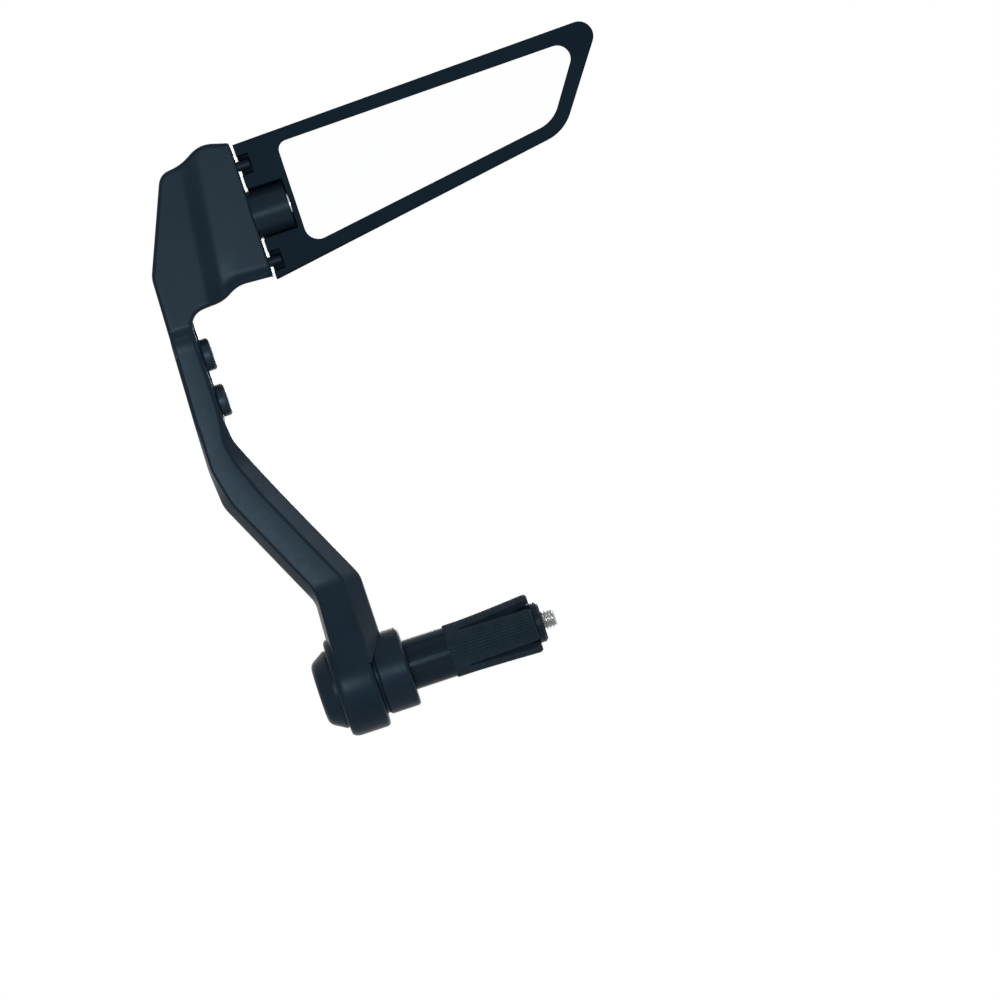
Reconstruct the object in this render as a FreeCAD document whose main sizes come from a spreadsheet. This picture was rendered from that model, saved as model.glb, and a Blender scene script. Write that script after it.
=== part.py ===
"""Bar-end wing mirror for a motorcycle, in millimetres.

The origin is on the axis of the handlebar, at the face that the end of the bar
butts on. +X runs along the bar into its tube, +Z is up and the glass faces -Y.
"""
import FreeCAD
import Part
import Sketcher

import os
import re

doc = FreeCAD.newDocument("wing_mirror")

# Driving dimensions, each one cell of the sheet: name, value, what it is.
SIZES = [
    # bar-end insert, turned about the bar axis
    ("sleeve_radius", 8.5, "expander sleeve, outside"),
    ("sleeve_length", 28.3, "expander sleeve, length"),
    ("sleeve_root_length", 4.7, "unslit root of the sleeve"),
    ("sleeve_slot_width", 2.2, "slots between the fingers at their tips"),
    ("sleeve_slot_root", 0.8, "slots between the fingers at their root"),
    ("sleeve_slot_count", 4, "number of slots"),
    ("sleeve_slot_turn", 45, "first slot, degrees about the bar axis"),
    ("finger_tip_radius", 6.6, "bore at the finger tips"),
    ("wedge_length", 14.0, "wedge nut, length"),
    ("wedge_taper", 2.4, "wedge nut, radius lost over its length"),
    ("wedge_stub", 2.6, "wedge nut, length beyond the fingers"),
    ("wedge_edge", 0.8, "wedge nut, broken edge of that end"),
    ("spacer_radius", 8.1, "spacer tube, outside"),
    ("spacer_length", 13.5, "spacer tube, length outside the collar"),
    ("spacer_seat", 1.0, "spacer tube, depth in the collar"),
    ("collar_radius", 12.9, "collar, outside"),
    ("collar_length", 10.1, "collar, length"),
    ("collar_edge", 1.0, "collar, rounded edges"),
    ("spigot_radius", 7.5, "collar spigot that the hub turns on"),
    ("friction_thick", 0.8, "friction ring between hub and collar"),
    ("friction_inset", 0.6, "friction ring, radius below the collar"),
    ("wave_thick", 0.9, "wave washer under the head washer"),
    ("washer_thick", 1.2, "head washer, thickness"),
    ("bolt_radius", 3.0, "bar-end screw, shank"),
    ("bolt_head_radius", 5.0, "bar-end screw, head"),
    ("bolt_head_height", 5.9, "bar-end screw, head height"),
    ("bolt_reach", 6.7, "bar-end screw, thread beyond the sleeve"),
    ("bolt_socket", 5.0, "bar-end screw, hexagon socket across flats"),
    ("bolt_socket_depth", 3.0, "bar-end screw, depth of the socket"),
    ("bolt_chamfer", 0.6, "bar-end screw, broken edges"),
    # hub and arm
    ("hub_radius", 16.2, "hub ring, outside"),
    ("hub_length", 12.6, "hub ring, length"),
    ("hub_web", 3.8, "hub ring, web that is clamped"),
    ("hub_bore", 9.0, "hub ring, radius of the screw well"),
    ("hub_edge", 1.3, "hub ring, rounded edges"),
    ("cap_length", 6.0, "end cap, length outside the hub"),
    ("cap_radius", 12.7, "end cap, radius at the hub"),
    ("cap_nose", 9.7, "end cap, radius at its face"),
    ("cap_edge", 3.2, "end cap, rounded nose"),
    ("cap_plug", 4.4, "end cap, depth of its plug"),
    ("cap_wall", 2.2, "end cap, wall of its plug"),
    ("cap_ring", 1.2, "end cap, section of its ring"),
    ("cap_rim", 1.0, "end cap, straight rim at the hub"),
    ("heel_bend", 27.9, "arm, lower bend on the outer side"),
    ("bend_height", 32.2, "arm, lower bend in front and on the inner side"),
    ("knee_height", 65.5, "arm, outer corner of the elbow"),
    ("elbow_height", 77.5, "arm, upper corner of the elbow"),
    ("bar_height", 84.7, "arm, start of the upright bar"),
    ("ramp_drop", 5.65, "arm, foot of the ramp below the shoulder"),
    ("shoulder_height", 122.85, "arm, top of the upright bar"),
    ("foot_inset", 0.8, "arm, outer side at the foot inside the hub's outer face"),
    ("foot_sink", 0.2, "arm, front at the foot inside the hub ring"),
    ("heel_outer", 21.7, "arm, outer side at the lower bend"),
    ("foot_inner", 5.6, "arm, inner side at the foot"),
    ("knee_outer", 39.7, "arm, outer side at the knee"),
    ("bar_outer", 40.6, "arm, outer side at the elbow"),
    ("shoulder_outer", 39.0, "arm, outer side at the shoulder"),
    ("bar_inner", 30.9, "arm, inner side of the upright bar"),
    ("arm_depth", 7.0, "arm, middle plane to front and back"),
    ("shoulder_depth", 8.6, "arm, the same at the shoulder"),
    ("inner_facet", 5.2, "arm, width of the inner facets"),
    ("elbow_facet", 4.4, "arm, width of the inner facets at the elbow"),
    ("outer_facet", 3.0, "arm, width of the outer facets"),
    ("bar_facet", 2.0, "arm, width of the inner facets at the start of the bar"),
    ("edge_facet", 0.9, "arm, broken edges of the upright bar"),
    ("facet_fade", 8.0, "arm, length over which the inner facets run out in the bar"),
    ("facet_band", 1.5, "arm, half the flat between the facets"),
    ("foot_band", 4.5, "arm, the same at the foot"),
    # tongue joint
    ("tongue_drop", 34.65, "tongue, lower end below the shoulder"),
    ("tongue_half", 4.0, "tongue, half its width"),
    ("tongue_depth", 3.0, "tongue, depth let into the bar"),
    ("tongue_proud", 0.6, "tongue, height above the bar"),
    ("clamp_radius", 3.0, "arm screws, shank"),
    ("clamp_head_radius", 5.2, "arm screws, head"),
    ("clamp_head_height", 2.8, "arm screws, head height"),
    ("clamp_head_slope", 0.9, "arm screws, broken edge of the head"),
    ("clamp_socket", 4.0, "arm screws, hexagon socket across flats"),
    ("clamp_socket_depth", 1.8, "arm screws, depth of the socket"),
    ("clamp_thread", 4.2, "arm screws, depth in the bar"),
    ("clamp_drop", 25.15, "arm screws, lower one below the shoulder"),
    ("clamp_pitch", 15.1, "arm screws, spacing"),
    # paddle
    ("paddle_edge", 1.85, "paddle, side towards the wing"),
    ("paddle_back", 9.8, "paddle and wing, back at the pivot"),
    ("paddle_front", 6.8, "paddle and wing, front at the pivot"),
    ("armpit_rise", 3.2, "paddle, inner corner above the shoulder"),
    ("keel_out", 17.2, "paddle, foot of the lower step from the wing side"),
    ("keel_rise", 4.0, "paddle, foot of that step above the shoulder"),
    ("step_out", 11.6, "paddle, head of the lower step from the wing side"),
    ("step_rise", 1.7, "paddle, head of that step above the wing"),
    ("plate_rise", 1.0, "paddle, above the wing at the gap"),
    ("crest_out", 9.2, "paddle, crest from the wing side"),
    ("crest_rise", 3.2, "paddle, crest above the wing"),
    ("dip_out", 16.5, "paddle, dip beside the crest from the wing side"),
    ("dip_drop", 0.3, "paddle, dip below the wing"),
    ("brow_out", 23.6, "paddle, brow from the wing side"),
    ("brow_drop", 2.2, "paddle, brow below the wing"),
    ("temple_in", 1.0, "paddle, outer corner from the bar's outer side"),
    ("temple_rise", 18.0, "paddle, outer corner above the shoulder"),
    ("brow_round", 7.0, "paddle, radius of the brow"),
    ("crest_round", 4.5, "paddle, radii of crest and dip"),
    ("armpit_round", 2.8, "paddle, radius of the inner corner"),
    ("keel_round", 4.0, "paddle, radii of the lower step"),
    ("paddle_round", 1.0, "paddle, rounded front edges"),
    ("paddle_back_round", 1.6, "paddle, rounded back edges"),
    ("spine_front", 7.7, "paddle, front of the spine at its top"),
    ("flank_low", 20.6, "paddle, foot of the spine's flank from the bar end, below"),
    ("flank_top", 14.4, "paddle, foot of the spine's flank from the bar end, at its top"),
    ("spine_flank", 55.0, "paddle, lean of the spine's flank, in degrees"),
    ("spine_round", 2.2, "paddle, shoulder of the spine"),
    ("plate_round", 2.2, "paddle, hollow between flank and plate"),
    # pivot
    ("pivot_rise", 26.95, "pivot axis above the shoulder"),
    ("barrel_radius", 7.8, "pivot barrel, outside"),
    ("barrel_end", 10.0, "pivot barrel, inner end"),
    ("barrel_spigot", 5.0, "pivot barrel, spigot radius and depth"),
    ("pivot_radius", 2.0, "pivot screw, shoulder"),
    ("pivot_thread", 1.5, "pivot screw, thread"),
    ("pivot_head_radius", 3.0, "pivot screw, head"),
    ("pivot_head_height", 3.0, "pivot screw, head height"),
    ("pivot_socket", 2.5, "pivot screw, hexagon socket across flats"),
    ("pivot_socket_depth", 1.8, "pivot screw, depth of the socket"),
    ("pivot_rim", 3.1, "pivot washers, outside"),
    ("bush_wall", 0.7, "pivot bush, wall"),
    ("disc_thick", 0.4, "pivot friction washer"),
    ("disc_radius", 5.0, "pivot friction washer, outside"),
    ("pivot_washer_thick", 0.5, "pivot washer"),
    ("pivot_wave_thick", 0.4, "pivot wave washer"),
    ("tilt_limit", 15.0, "tilt each way, in degrees"),
    ("stop_radius", 1.6, "stop pins, radius"),
    ("stop_offset", 15.8, "stop pins, distance from the pivot axis"),
    ("stop_front", 4.2, "stop pins, forward of the pivot axis"),
    ("stop_reach", 4.4, "stop pins, length beyond the paddle"),
    ("stop_seat", 4.0, "stop pins, depth in the paddle"),
    ("stop_chamfer", 0.3, "stop pins, broken edge"),
    # wing
    ("wing_gap", 0.85, "gap between paddle and wing"),
    ("wing_over", 22.8, "wing, top edge above the pivot at that end"),
    ("wing_under", 21.3, "wing, lower edge below the pivot at that end"),
    ("tip_reach", 122.2, "wing, point of the tip"),
    ("tip_over", 25.8, "wing, top edge above the pivot at the tip"),
    ("heel_reach", 99.5, "wing, lower corner of the tip"),
    ("heel_under", 5.8, "wing, lower corner of the tip below the pivot"),
    ("tip_round", 4.6, "wing, corner radius at the tip"),
    ("heel_round", 14.0, "wing, corner radius at the heel"),
    ("tip_back", 1.8, "wing, back surface at the tip"),
    ("wing_back_round", 3.4, "wing, rounded back edges"),
    ("wing_front_round", 0.7, "wing, rounded front edges"),
    ("lip_round", 1.0, "wing, rounded lips of the barrel pocket"),
    ("wing_wall", 4.5, "wing, wall that carries the pivot"),
    ("wing_cavity", 6.0, "wing, depth of the hollow from the front"),
    # glass
    ("glass_thick", 2.0, "glass, thickness"),
    ("glass_sink", 1.0, "glass, below the front of the wing"),
    ("glass_tape_thick", 0.6, "adhesive tape, thickness"),
    ("glass_ledge", 3.0, "ledge under the glass, width"),
    ("tape_inset", 0.5, "adhesive tape, inside the edge of the glass"),
    ("tape_width", 2.0, "adhesive tape, width"),
    ("point_share", 1.6, "glass, travel of its point for a margin of one"),
    ("glass_left", 12.3, "glass, edge beside the pivot"),
    ("glass_under", 14.6, "glass, lower edge below the pivot at that end"),
    ("glass_over", 19.0, "glass, top edge above the pivot at that end"),
    ("glass_tip", 112.4, "glass, point of the tip"),
    ("glass_tip_over", 20.6, "glass, top edge above the pivot at the tip"),
    ("glass_heel", 97.0, "glass, lower corner of the tip"),
    ("glass_heel_under", 2.0, "glass, lower corner of the tip below the pivot"),
    ("glass_round", 3.0, "glass, corner radius"),
    ("glass_tip_round", 4.2, "glass, corner radius at the tip"),
    ("glass_low_round", 4.5, "glass, corner radius beside the pivot, below"),
    ("glass_heel_round", 11.0, "glass, corner radius at the heel"),
    # clearances
    ("run_clear", 0.05, "running fits, on the radius"),
    ("seat_clear", 0.1, "flat faces that turn on each other"),
    ("free_clear", 0.3, "pieces that pass each other"),
    ("screw_clear", 0.3, "screw holes, on the radius"),
    ("cut_over", 1.0, "cuts, how far they begin outside a piece"),
]

sheet = doc.addObject("Spreadsheet::Sheet", "Sizes")
for row, (alias, value, meaning) in enumerate(SIZES, 1):
    sheet.set(f"A{row}", meaning)
    sheet.set(f"B{row}", str(value))
    sheet.setAlias(f"B{row}", alias)
doc.recompute()

ALIAS = re.compile(r"\b[a-z]+(?:_[a-z]+)+\b")
SLACK = 0.02  # coordinates this close count as equal


# Heights that hang on the shoulder of the arm and on the pivot.
HEIGHTS = {
    "wing_top": "(pivot_height + wing_over)",
    "wing_low": "(pivot_height - wing_under)",
    "tip_top": "(pivot_height + tip_over)",
    "heel_height": "(pivot_height - heel_under)",
    "glass_low": "(pivot_height - glass_under)",
    "glass_top": "(pivot_height + glass_over)",
    "glass_tip_top": "(pivot_height + glass_tip_over)",
    "glass_heel_height": "(pivot_height - glass_heel_under)",
    "pivot_height": "(shoulder_height + pivot_rise)",
    "ramp_height": "(shoulder_height - ramp_drop)",
    "tongue_low": "(shoulder_height - tongue_drop)",
    "clamp_low": "(shoulder_height - clamp_drop)",
}


def bound(formula):
    """The formula with its heights spelt out and each size read from the sheet."""
    for name, meaning in HEIGHTS.items():
        formula = re.sub(rf"\b{name}\b", meaning, formula)
    return ALIAS.sub(r"Sizes.\g<0>", formula)


def number(formula):
    """The present value of a formula."""
    return float(sheet.evalExpression(bound(formula)))


# Places that several pieces share, as formulas of the sizes.
SLEEVE_START = "spacer_length"
SLEEVE_END = "(spacer_length + sleeve_length)"
HUB_FACE = "(0 - collar_length - friction_thick - seat_clear)"
HUB_OUTER = f"({HUB_FACE} - hub_length)"
WEB_FACE = f"({HUB_FACE} - hub_web)"
SPIGOT_END = f"({WEB_FACE} - wave_thick - 2 * seat_clear)"
HEAD_SEAT = f"({SPIGOT_END} - washer_thick)"
HEAD_TOP = f"({HEAD_SEAT} - bolt_head_height)"
FOOT_TURN = ("(atan(arm_depth / bend_height)"
             " + acos(hub_radius / sqrt(arm_depth * arm_depth + bend_height * bend_height)))")
FOOT_HEIGHT = f"(hub_radius * cos({FOOT_TURN}))"
FOOT_DEPTH = f"(hub_radius * sin({FOOT_TURN}) - foot_sink)"
TONGUE_FACE = "(tongue_proud - bar_inner)"
TONGUE_SEAT = "(0 - bar_inner - tongue_depth)"
WING_EDGE = "(wing_gap - paddle_edge)"
POCKET_END = "(barrel_end + seat_clear + disc_thick)"
WALL_END = f"({POCKET_END} + wing_wall)"
PIVOT_HEAD = f"({WALL_END} + seat_clear + pivot_wave_thick + pivot_washer_thick)"
PIVOT_TIP = "(free_clear - paddle_edge - barrel_spigot)"
GLASS_FACE = "(glass_sink - paddle_front)"
GLASS_BACK = f"({GLASS_FACE} + glass_thick)"
NOTCH_FLOOR = ("(stop_offset * sin(tilt_limit) - stop_front * cos(tilt_limit)"
               " + stop_radius + free_clear)")
NOTCH_DEPTH = "(stop_reach - wing_gap + free_clear)"


def new_body(label):
    """An empty body whose label is the name of its file."""
    body = doc.addObject("PartDesign::Body", label)
    body.Label = label
    return body


def plane(body, role):
    """One of the body's own origin planes or axes."""
    return next(item for item in body.Origin.OriginFeatures if item.Role == role)


def sketch_on(body, name, role, offset="0"):
    """A sketch on an origin plane, moved along the plane's normal."""
    sketch = body.newObject("Sketcher::SketchObject", name)
    sketch.AttachmentSupport = [(plane(body, role), "")]
    sketch.MapMode = "FlatFace"
    sketch.setExpression("AttachmentOffset.Base.z", bound(offset))
    return sketch


def polygon(sketch, corners):
    """A closed outline; each corner is a pair of formulas from the sketch origin."""
    points = [FreeCAD.Vector(number(x), number(y), 0) for x, y in corners]
    first = sketch.GeometryCount
    count = len(points)
    for start, end in zip(points, points[1:] + points[:1]):
        sketch.addGeometry(Part.LineSegment(start, end), False)
    for index in range(count):
        following = first + (index + 1) % count
        sketch.addConstraint(Sketcher.Constraint("Coincident", first + index, 2, following, 1))
    for index, formulas in enumerate(corners):
        for kind, axis, formula in zip(("DistanceX", "DistanceY"), (-2, -1), formulas):
            if formula == "0":
                rule = Sketcher.Constraint("PointOnObject", first + index, 1, axis)
                sketch.addConstraint(rule)
                continue
            rule = Sketcher.Constraint(kind, -1, 1, first + index, 1, number(formula))
            place = sketch.addConstraint(rule)
            sketch.setExpression(f"Constraints[{place}]", bound(formula))


def circle(sketch, x, y, radius):
    """A circle at a pair of formulas."""
    centre = FreeCAD.Vector(number(x), number(y), 0)
    shape = sketch.addGeometry(Part.Circle(centre, FreeCAD.Vector(0, 0, 1), number(radius)))
    rules = [("DistanceX", -2, x), ("DistanceY", -1, y)]
    for kind, axis, formula in rules:
        if formula == "0":
            sketch.addConstraint(Sketcher.Constraint("PointOnObject", shape, 3, axis))
            continue
        place = sketch.addConstraint(Sketcher.Constraint(kind, -1, 1, shape, 3, number(formula)))
        sketch.setExpression(f"Constraints[{place}]", bound(formula))
    place = sketch.addConstraint(Sketcher.Constraint("Radius", shape, number(radius)))
    sketch.setExpression(f"Constraints[{place}]", bound(radius))


def box_corners(x_low, x_high, y_low, y_high):
    """The four corners of a rectangle."""
    return [(x_low, y_low), (x_high, y_low), (x_high, y_high), (x_low, y_high)]


def feature(body, kind, name, profile, length=None, reverse=False):
    """A pad, pocket, revolution or groove of a sketch; a cut has to remove something."""
    doc.recompute()
    before = body.Shape.Volume if body.Tip and not body.Shape.isNull() else 0.0
    made = body.newObject(f"PartDesign::{kind}", name)
    made.Profile = profile
    if length is None:
        made.ReferenceAxis = (profile, ["H_Axis"])
        made.Angle = 360
    else:
        made.setExpression("Length", bound(length))
        made.Reversed = reverse
    doc.recompute()
    cuts = kind in ("Pocket", "Groove")
    if cuts != (made.Shape.Volume < before):
        raise RuntimeError(f"{body.Label}: {name} changed nothing")
    return made


def round_edges(body, name, radius, chosen):
    """Fillet the edges of the body that the test picks."""
    doc.recompute()
    base = body.Tip
    names = [f"Edge{place}" for place, edge in enumerate(base.Shape.Edges, 1) if chosen(edge)]
    if not names:
        raise RuntimeError(f"{body.Label}: {name} found no edge")
    fillet = body.newObject("PartDesign::Fillet", name)
    fillet.Base = (base, names)
    fillet.setExpression("Radius", bound(radius))
    doc.recompute()
    return fillet


def near(value, formula):
    """True where a coordinate lies at a formula."""
    return abs(value - number(formula)) < SLACK


def ring_at(edge, x, radius):
    """True for a round edge about the turning axis at x."""
    box = edge.BoundBox
    return near(box.Center.x, x) and box.XLength < SLACK and near(box.ZMax, radius)


def upright_at(edge, x, z):
    """True for an edge along Y at a corner of an outline."""
    box = edge.BoundBox
    straight = box.XLength < SLACK and box.ZLength < SLACK
    return straight and near(box.Center.x, x) and near(box.Center.z, z)


def on_level(edge, y):
    """True for an edge that lies flat in a plane across Y."""
    return edge.BoundBox.YLength < SLACK and near(edge.BoundBox.Center.y, y)


def turned(label, profile):
    """A piece turned about X from a profile of (x, radius) formulas."""
    body = new_body(label)
    sketch = sketch_on(body, f"{label}_profile", "XZ_Plane")
    polygon(sketch, profile)
    feature(body, "Revolution", f"{label}_turning", sketch)
    return body


def washer(label, start, thick, inner, outer):
    """A flat ring about X."""
    end = f"{start} + {thick}"
    return turned(label, box_corners(start, end, inner, outer))


def at_pivot(body):
    """Set a turned piece on the pivot axis."""
    body.setExpression("Placement.Base.z", bound("pivot_height"))
    return body


def hexagon(flats):
    """Corners of a hexagon from its width across flats."""
    corner = f"{flats} / sqrt(3)"
    half = f"{flats} / 2"
    low = f"0 - {flats} / 2"
    return [(corner, "0"), (f"{corner} / 2", half), (f"0 - {corner} / 2", half),
            (f"0 - {corner}", "0"), (f"0 - {corner} / 2", low), (f"{corner} / 2", low)]


def socket(body, face, flats, depth, reverse):
    """A hexagon socket cut into a screw head along X."""
    sketch = sketch_on(body, f"{body.Label}_hexagon", "YZ_Plane", face)
    polygon(sketch, hexagon(flats))
    feature(body, "Pocket", f"{body.Label}_socket", sketch, depth, reverse)


# Bar-end insert

def make_expander_sleeve():
    """Slit sleeve with a tapered bore that the wedge nut spreads."""
    bore = "bolt_radius + screw_clear"
    taper_start = f"{SLEEVE_END} - wedge_length - free_clear"
    body = turned("expander_sleeve", [
        (SLEEVE_START, bore), (taper_start, bore),
        (taper_start, "finger_tip_radius - wedge_taper"), (SLEEVE_END, "finger_tip_radius"),
        (SLEEVE_END, "sleeve_radius"), (SLEEVE_START, "sleeve_radius")])
    sketch = sketch_on(body, "slot_outline", "XZ_Plane")
    sketch.AttachmentOffset.Rotation = FreeCAD.Rotation(FreeCAD.Vector(1, 0, 0), 1)
    sketch.setExpression("AttachmentOffset.Rotation.Angle", bound("sleeve_slot_turn"))
    root = f"{SLEEVE_START} + sleeve_root_length"
    polygon(sketch, [(root, "0 - sleeve_slot_root / 2"), (SLEEVE_END, "0 - sleeve_slot_width / 2"),
                     (f"{SLEEVE_END} + cut_over", "0 - sleeve_slot_width / 2"),
                     (f"{SLEEVE_END} + cut_over", "sleeve_slot_width / 2"),
                     (SLEEVE_END, "sleeve_slot_width / 2"), (root, "sleeve_slot_root / 2")])
    slot = feature(body, "Pocket", "slot", sketch, "2 * sleeve_radius", True)
    slots = body.newObject("PartDesign::PolarPattern", "slots")
    slots.Originals = [slot]
    slots.Axis = (plane(body, "X_Axis"), [""])
    slots.Angle = 360
    slots.setExpression("Occurrences", bound("sleeve_slot_count"))
    body.Tip = slots
    return body


def make_wedge_nut():
    """Tapered nut drawn into the fingers by the bar-end screw."""
    start = f"{SLEEVE_END} - wedge_length"
    bore = "bolt_radius + run_clear"
    tip = "finger_tip_radius - seat_clear"
    stub = f"{SLEEVE_END} + wedge_stub"
    return turned("wedge_nut", [
        (start, bore), (stub, bore), (stub, f"{tip} - wedge_edge"), (f"{stub} - wedge_edge", tip),
        (SLEEVE_END, tip),
        (start, f"{tip} - wedge_taper * wedge_length / (wedge_length + free_clear)")])


def make_spacer_tube():
    """Smooth tube between the collar and the sleeve."""
    return turned("spacer_tube", box_corners("0 - spacer_seat", SLEEVE_START,
                                             "bolt_radius + screw_clear", "spacer_radius"))


def make_bar_collar():
    """Collar that the end of the bar butts on, with the spigot for the hub."""
    bore = "bolt_radius + screw_clear"
    body = turned("bar_collar", [
        (SPIGOT_END, bore), ("0 - spacer_seat", bore),
        ("0 - spacer_seat", "spacer_radius + run_clear"), ("0", "spacer_radius + run_clear"),
        ("0", "collar_radius"),
        ("0 - collar_length", "collar_radius"), ("0 - collar_length", "spigot_radius"),
        (SPIGOT_END, "spigot_radius")])
    round_edges(body, "collar_edges", "collar_edge",
                lambda edge: ring_at(edge, "0", "collar_radius")
                or ring_at(edge, "0 - collar_length", "collar_radius"))
    return body


def make_bar_end_screw():
    """Long socket screw through hub, collar, spacer and sleeve."""
    body = turned("bar_end_screw", [
        (HEAD_TOP, "0"), (f"{SLEEVE_END} + bolt_reach", "0"),
        (f"{SLEEVE_END} + bolt_reach", "bolt_radius - bolt_chamfer"),
        (f"{SLEEVE_END} + bolt_reach - bolt_chamfer", "bolt_radius"),
        (HEAD_SEAT, "bolt_radius"), (HEAD_SEAT, "bolt_head_radius"),
        (f"{HEAD_TOP} + bolt_chamfer", "bolt_head_radius"),
        (HEAD_TOP, "bolt_head_radius - bolt_chamfer")])
    socket(body, HEAD_TOP, "bolt_socket", "bolt_socket_depth", True)
    return body


def make_insert_washers():
    """Friction ring, wave washer and head washer of the hub joint."""
    return [
        washer("hub_friction_ring", "0 - collar_length - friction_thick", "friction_thick",
               "spigot_radius + run_clear", "collar_radius - friction_inset"),
        washer("hub_wave_washer", f"{SPIGOT_END} + seat_clear", "wave_thick",
               "spigot_radius + run_clear", "hub_bore - free_clear"),
        washer("head_washer", HEAD_SEAT, "washer_thick", "bolt_radius + screw_clear",
               "hub_bore - free_clear"),
    ]


# Arm

def between(height, low, high):
    """The value at a height on a line through two (height, value) pairs of formulas."""
    return (f"({low[1]} + ({high[1]} - {low[1]}) * ({height} - {low[0]})"
            f" / ({high[0]} - {low[0]}))")


def arm_sections():
    """Sections of the arm: height, outer x, inner x, front, back, facets, half band.

    The foot lies where the front of the arm is tangent to the hub ring.
    """
    inner = [("bend_height", "foot_inner"), ("bar_height", "bar_inner")]
    outer = [("heel_bend", "heel_outer"), ("knee_height", "knee_outer")]
    lean = [("elbow_height", "bar_outer"), ("shoulder_height", "shoulder_outer")]
    slope = [(FOOT_HEIGHT, FOOT_DEPTH), ("bend_height", "arm_depth")]
    widen = [(FOOT_HEIGHT, "foot_band"), ("bend_height", "facet_band")]
    heel_depth = between("heel_bend", *slope)
    fade = "(bar_height + facet_fade)"
    side_band = "(arm_depth - edge_facet)"
    return [
        (FOOT_HEIGHT, f"(0 - {HUB_OUTER} - foot_inset)", "foot_inner", FOOT_DEPTH, FOOT_DEPTH,
         "edge_facet", "inner_facet", "foot_band"),
        ("heel_bend", "heel_outer", "foot_inner", heel_depth, heel_depth,
         "edge_facet", "inner_facet", between("heel_bend", *widen)),
        ("bend_height", between("bend_height", *outer), "foot_inner", "arm_depth", "arm_depth",
         "outer_facet", "inner_facet", "facet_band"),
        ("knee_height", "knee_outer", between("knee_height", *inner), "arm_depth", "arm_depth",
         "outer_facet", "inner_facet", "facet_band"),
        ("elbow_height", "bar_outer", between("elbow_height", *inner), "arm_depth", "arm_depth",
         "edge_facet", "elbow_facet", "facet_band"),
        ("bar_height", between("bar_height", *lean), "bar_inner", "arm_depth", "arm_depth",
         "edge_facet", "bar_facet", f"({side_band} - bar_facet)"),
        (fade, between(fade, *lean), "bar_inner", "arm_depth", "arm_depth",
         "edge_facet", "edge_facet", side_band),
        ("ramp_height", between("ramp_height", *lean), "bar_inner", "arm_depth", "arm_depth",
         "edge_facet", "edge_facet", side_band),
        ("shoulder_height", "shoulder_outer", "bar_inner", "shoulder_depth", "paddle_back",
         "edge_facet", "edge_facet", side_band),
    ]


def make_lower_arm():
    """Dog-leg arm with its hub ring, one casting."""
    body = new_body("lower_arm")
    sketches = []
    for height, outer, inner, front, back, out_facet, in_facet, band in arm_sections():
        sketch = sketch_on(body, f"section_{len(sketches) + 1}", "XY_Plane", height)
        left = f"0 - {outer}"
        right = f"0 - {inner}"
        polygon(sketch, [
            (f"{left} + {out_facet}", f"0 - {front}"), (f"{right} - {in_facet}", f"0 - {front}"),
            (right, f"0 - {band}"), (right, band),
            (f"{right} - {in_facet}", back), (f"{left} + {out_facet}", back),
            (left, band), (left, f"0 - {band}")])
        sketches.append(sketch)
    doc.recompute()
    loft = body.newObject("PartDesign::AdditiveLoft", "dog_leg")
    loft.Profile = sketches[0]
    loft.Sections = sketches[1:]
    loft.Ruled = True
    doc.recompute()
    ring = sketch_on(body, "hub_profile", "XZ_Plane")
    polygon(ring, box_corners(HUB_OUTER, HUB_FACE, "0", "hub_radius"))
    feature(body, "Revolution", "hub_ring", ring)
    round_edges(body, "hub_edges", "hub_edge",
                lambda edge: near(edge.BoundBox.ZMin, "0 - hub_radius")
                and edge.BoundBox.XLength < SLACK)
    saddle = sketch_on(body, "saddle_profile", "XZ_Plane")
    polygon(saddle, box_corners(HUB_FACE, "0", "0", "collar_radius + 2 * free_clear"))
    feature(body, "Groove", "collar_saddle", saddle)
    well = sketch_on(body, "well_profile", "XZ_Plane")
    polygon(well, [(f"{HUB_OUTER} - cut_over", "0"), (f"{HUB_FACE} + cut_over", "0"),
                   (f"{HUB_FACE} + cut_over", "spigot_radius + run_clear"),
                   (WEB_FACE, "spigot_radius + run_clear"), (WEB_FACE, "hub_bore"),
                   (f"{HUB_OUTER} - cut_over", "hub_bore")])
    feature(body, "Groove", "screw_well", well)
    mortise = sketch_on(body, "mortise_outline", "XY_Plane", "shoulder_height + cut_over")
    polygon(mortise, box_corners(TONGUE_SEAT, f"{TONGUE_FACE} + cut_over",
                                 "0 - tongue_half - run_clear", "tongue_half + run_clear"))
    feature(body, "Pocket", "mortise", mortise,
            "shoulder_height + cut_over - tongue_low + run_clear")
    threads = sketch_on(body, "thread_circles", "YZ_Plane", f"{TONGUE_SEAT} + cut_over")
    for height in ("clamp_low", "clamp_low + clamp_pitch"):
        circle(threads, "0", height, "clamp_radius + run_clear")
    feature(body, "Pocket", "arm_threads", threads, "clamp_thread + cut_over + free_clear")
    return body


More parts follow.
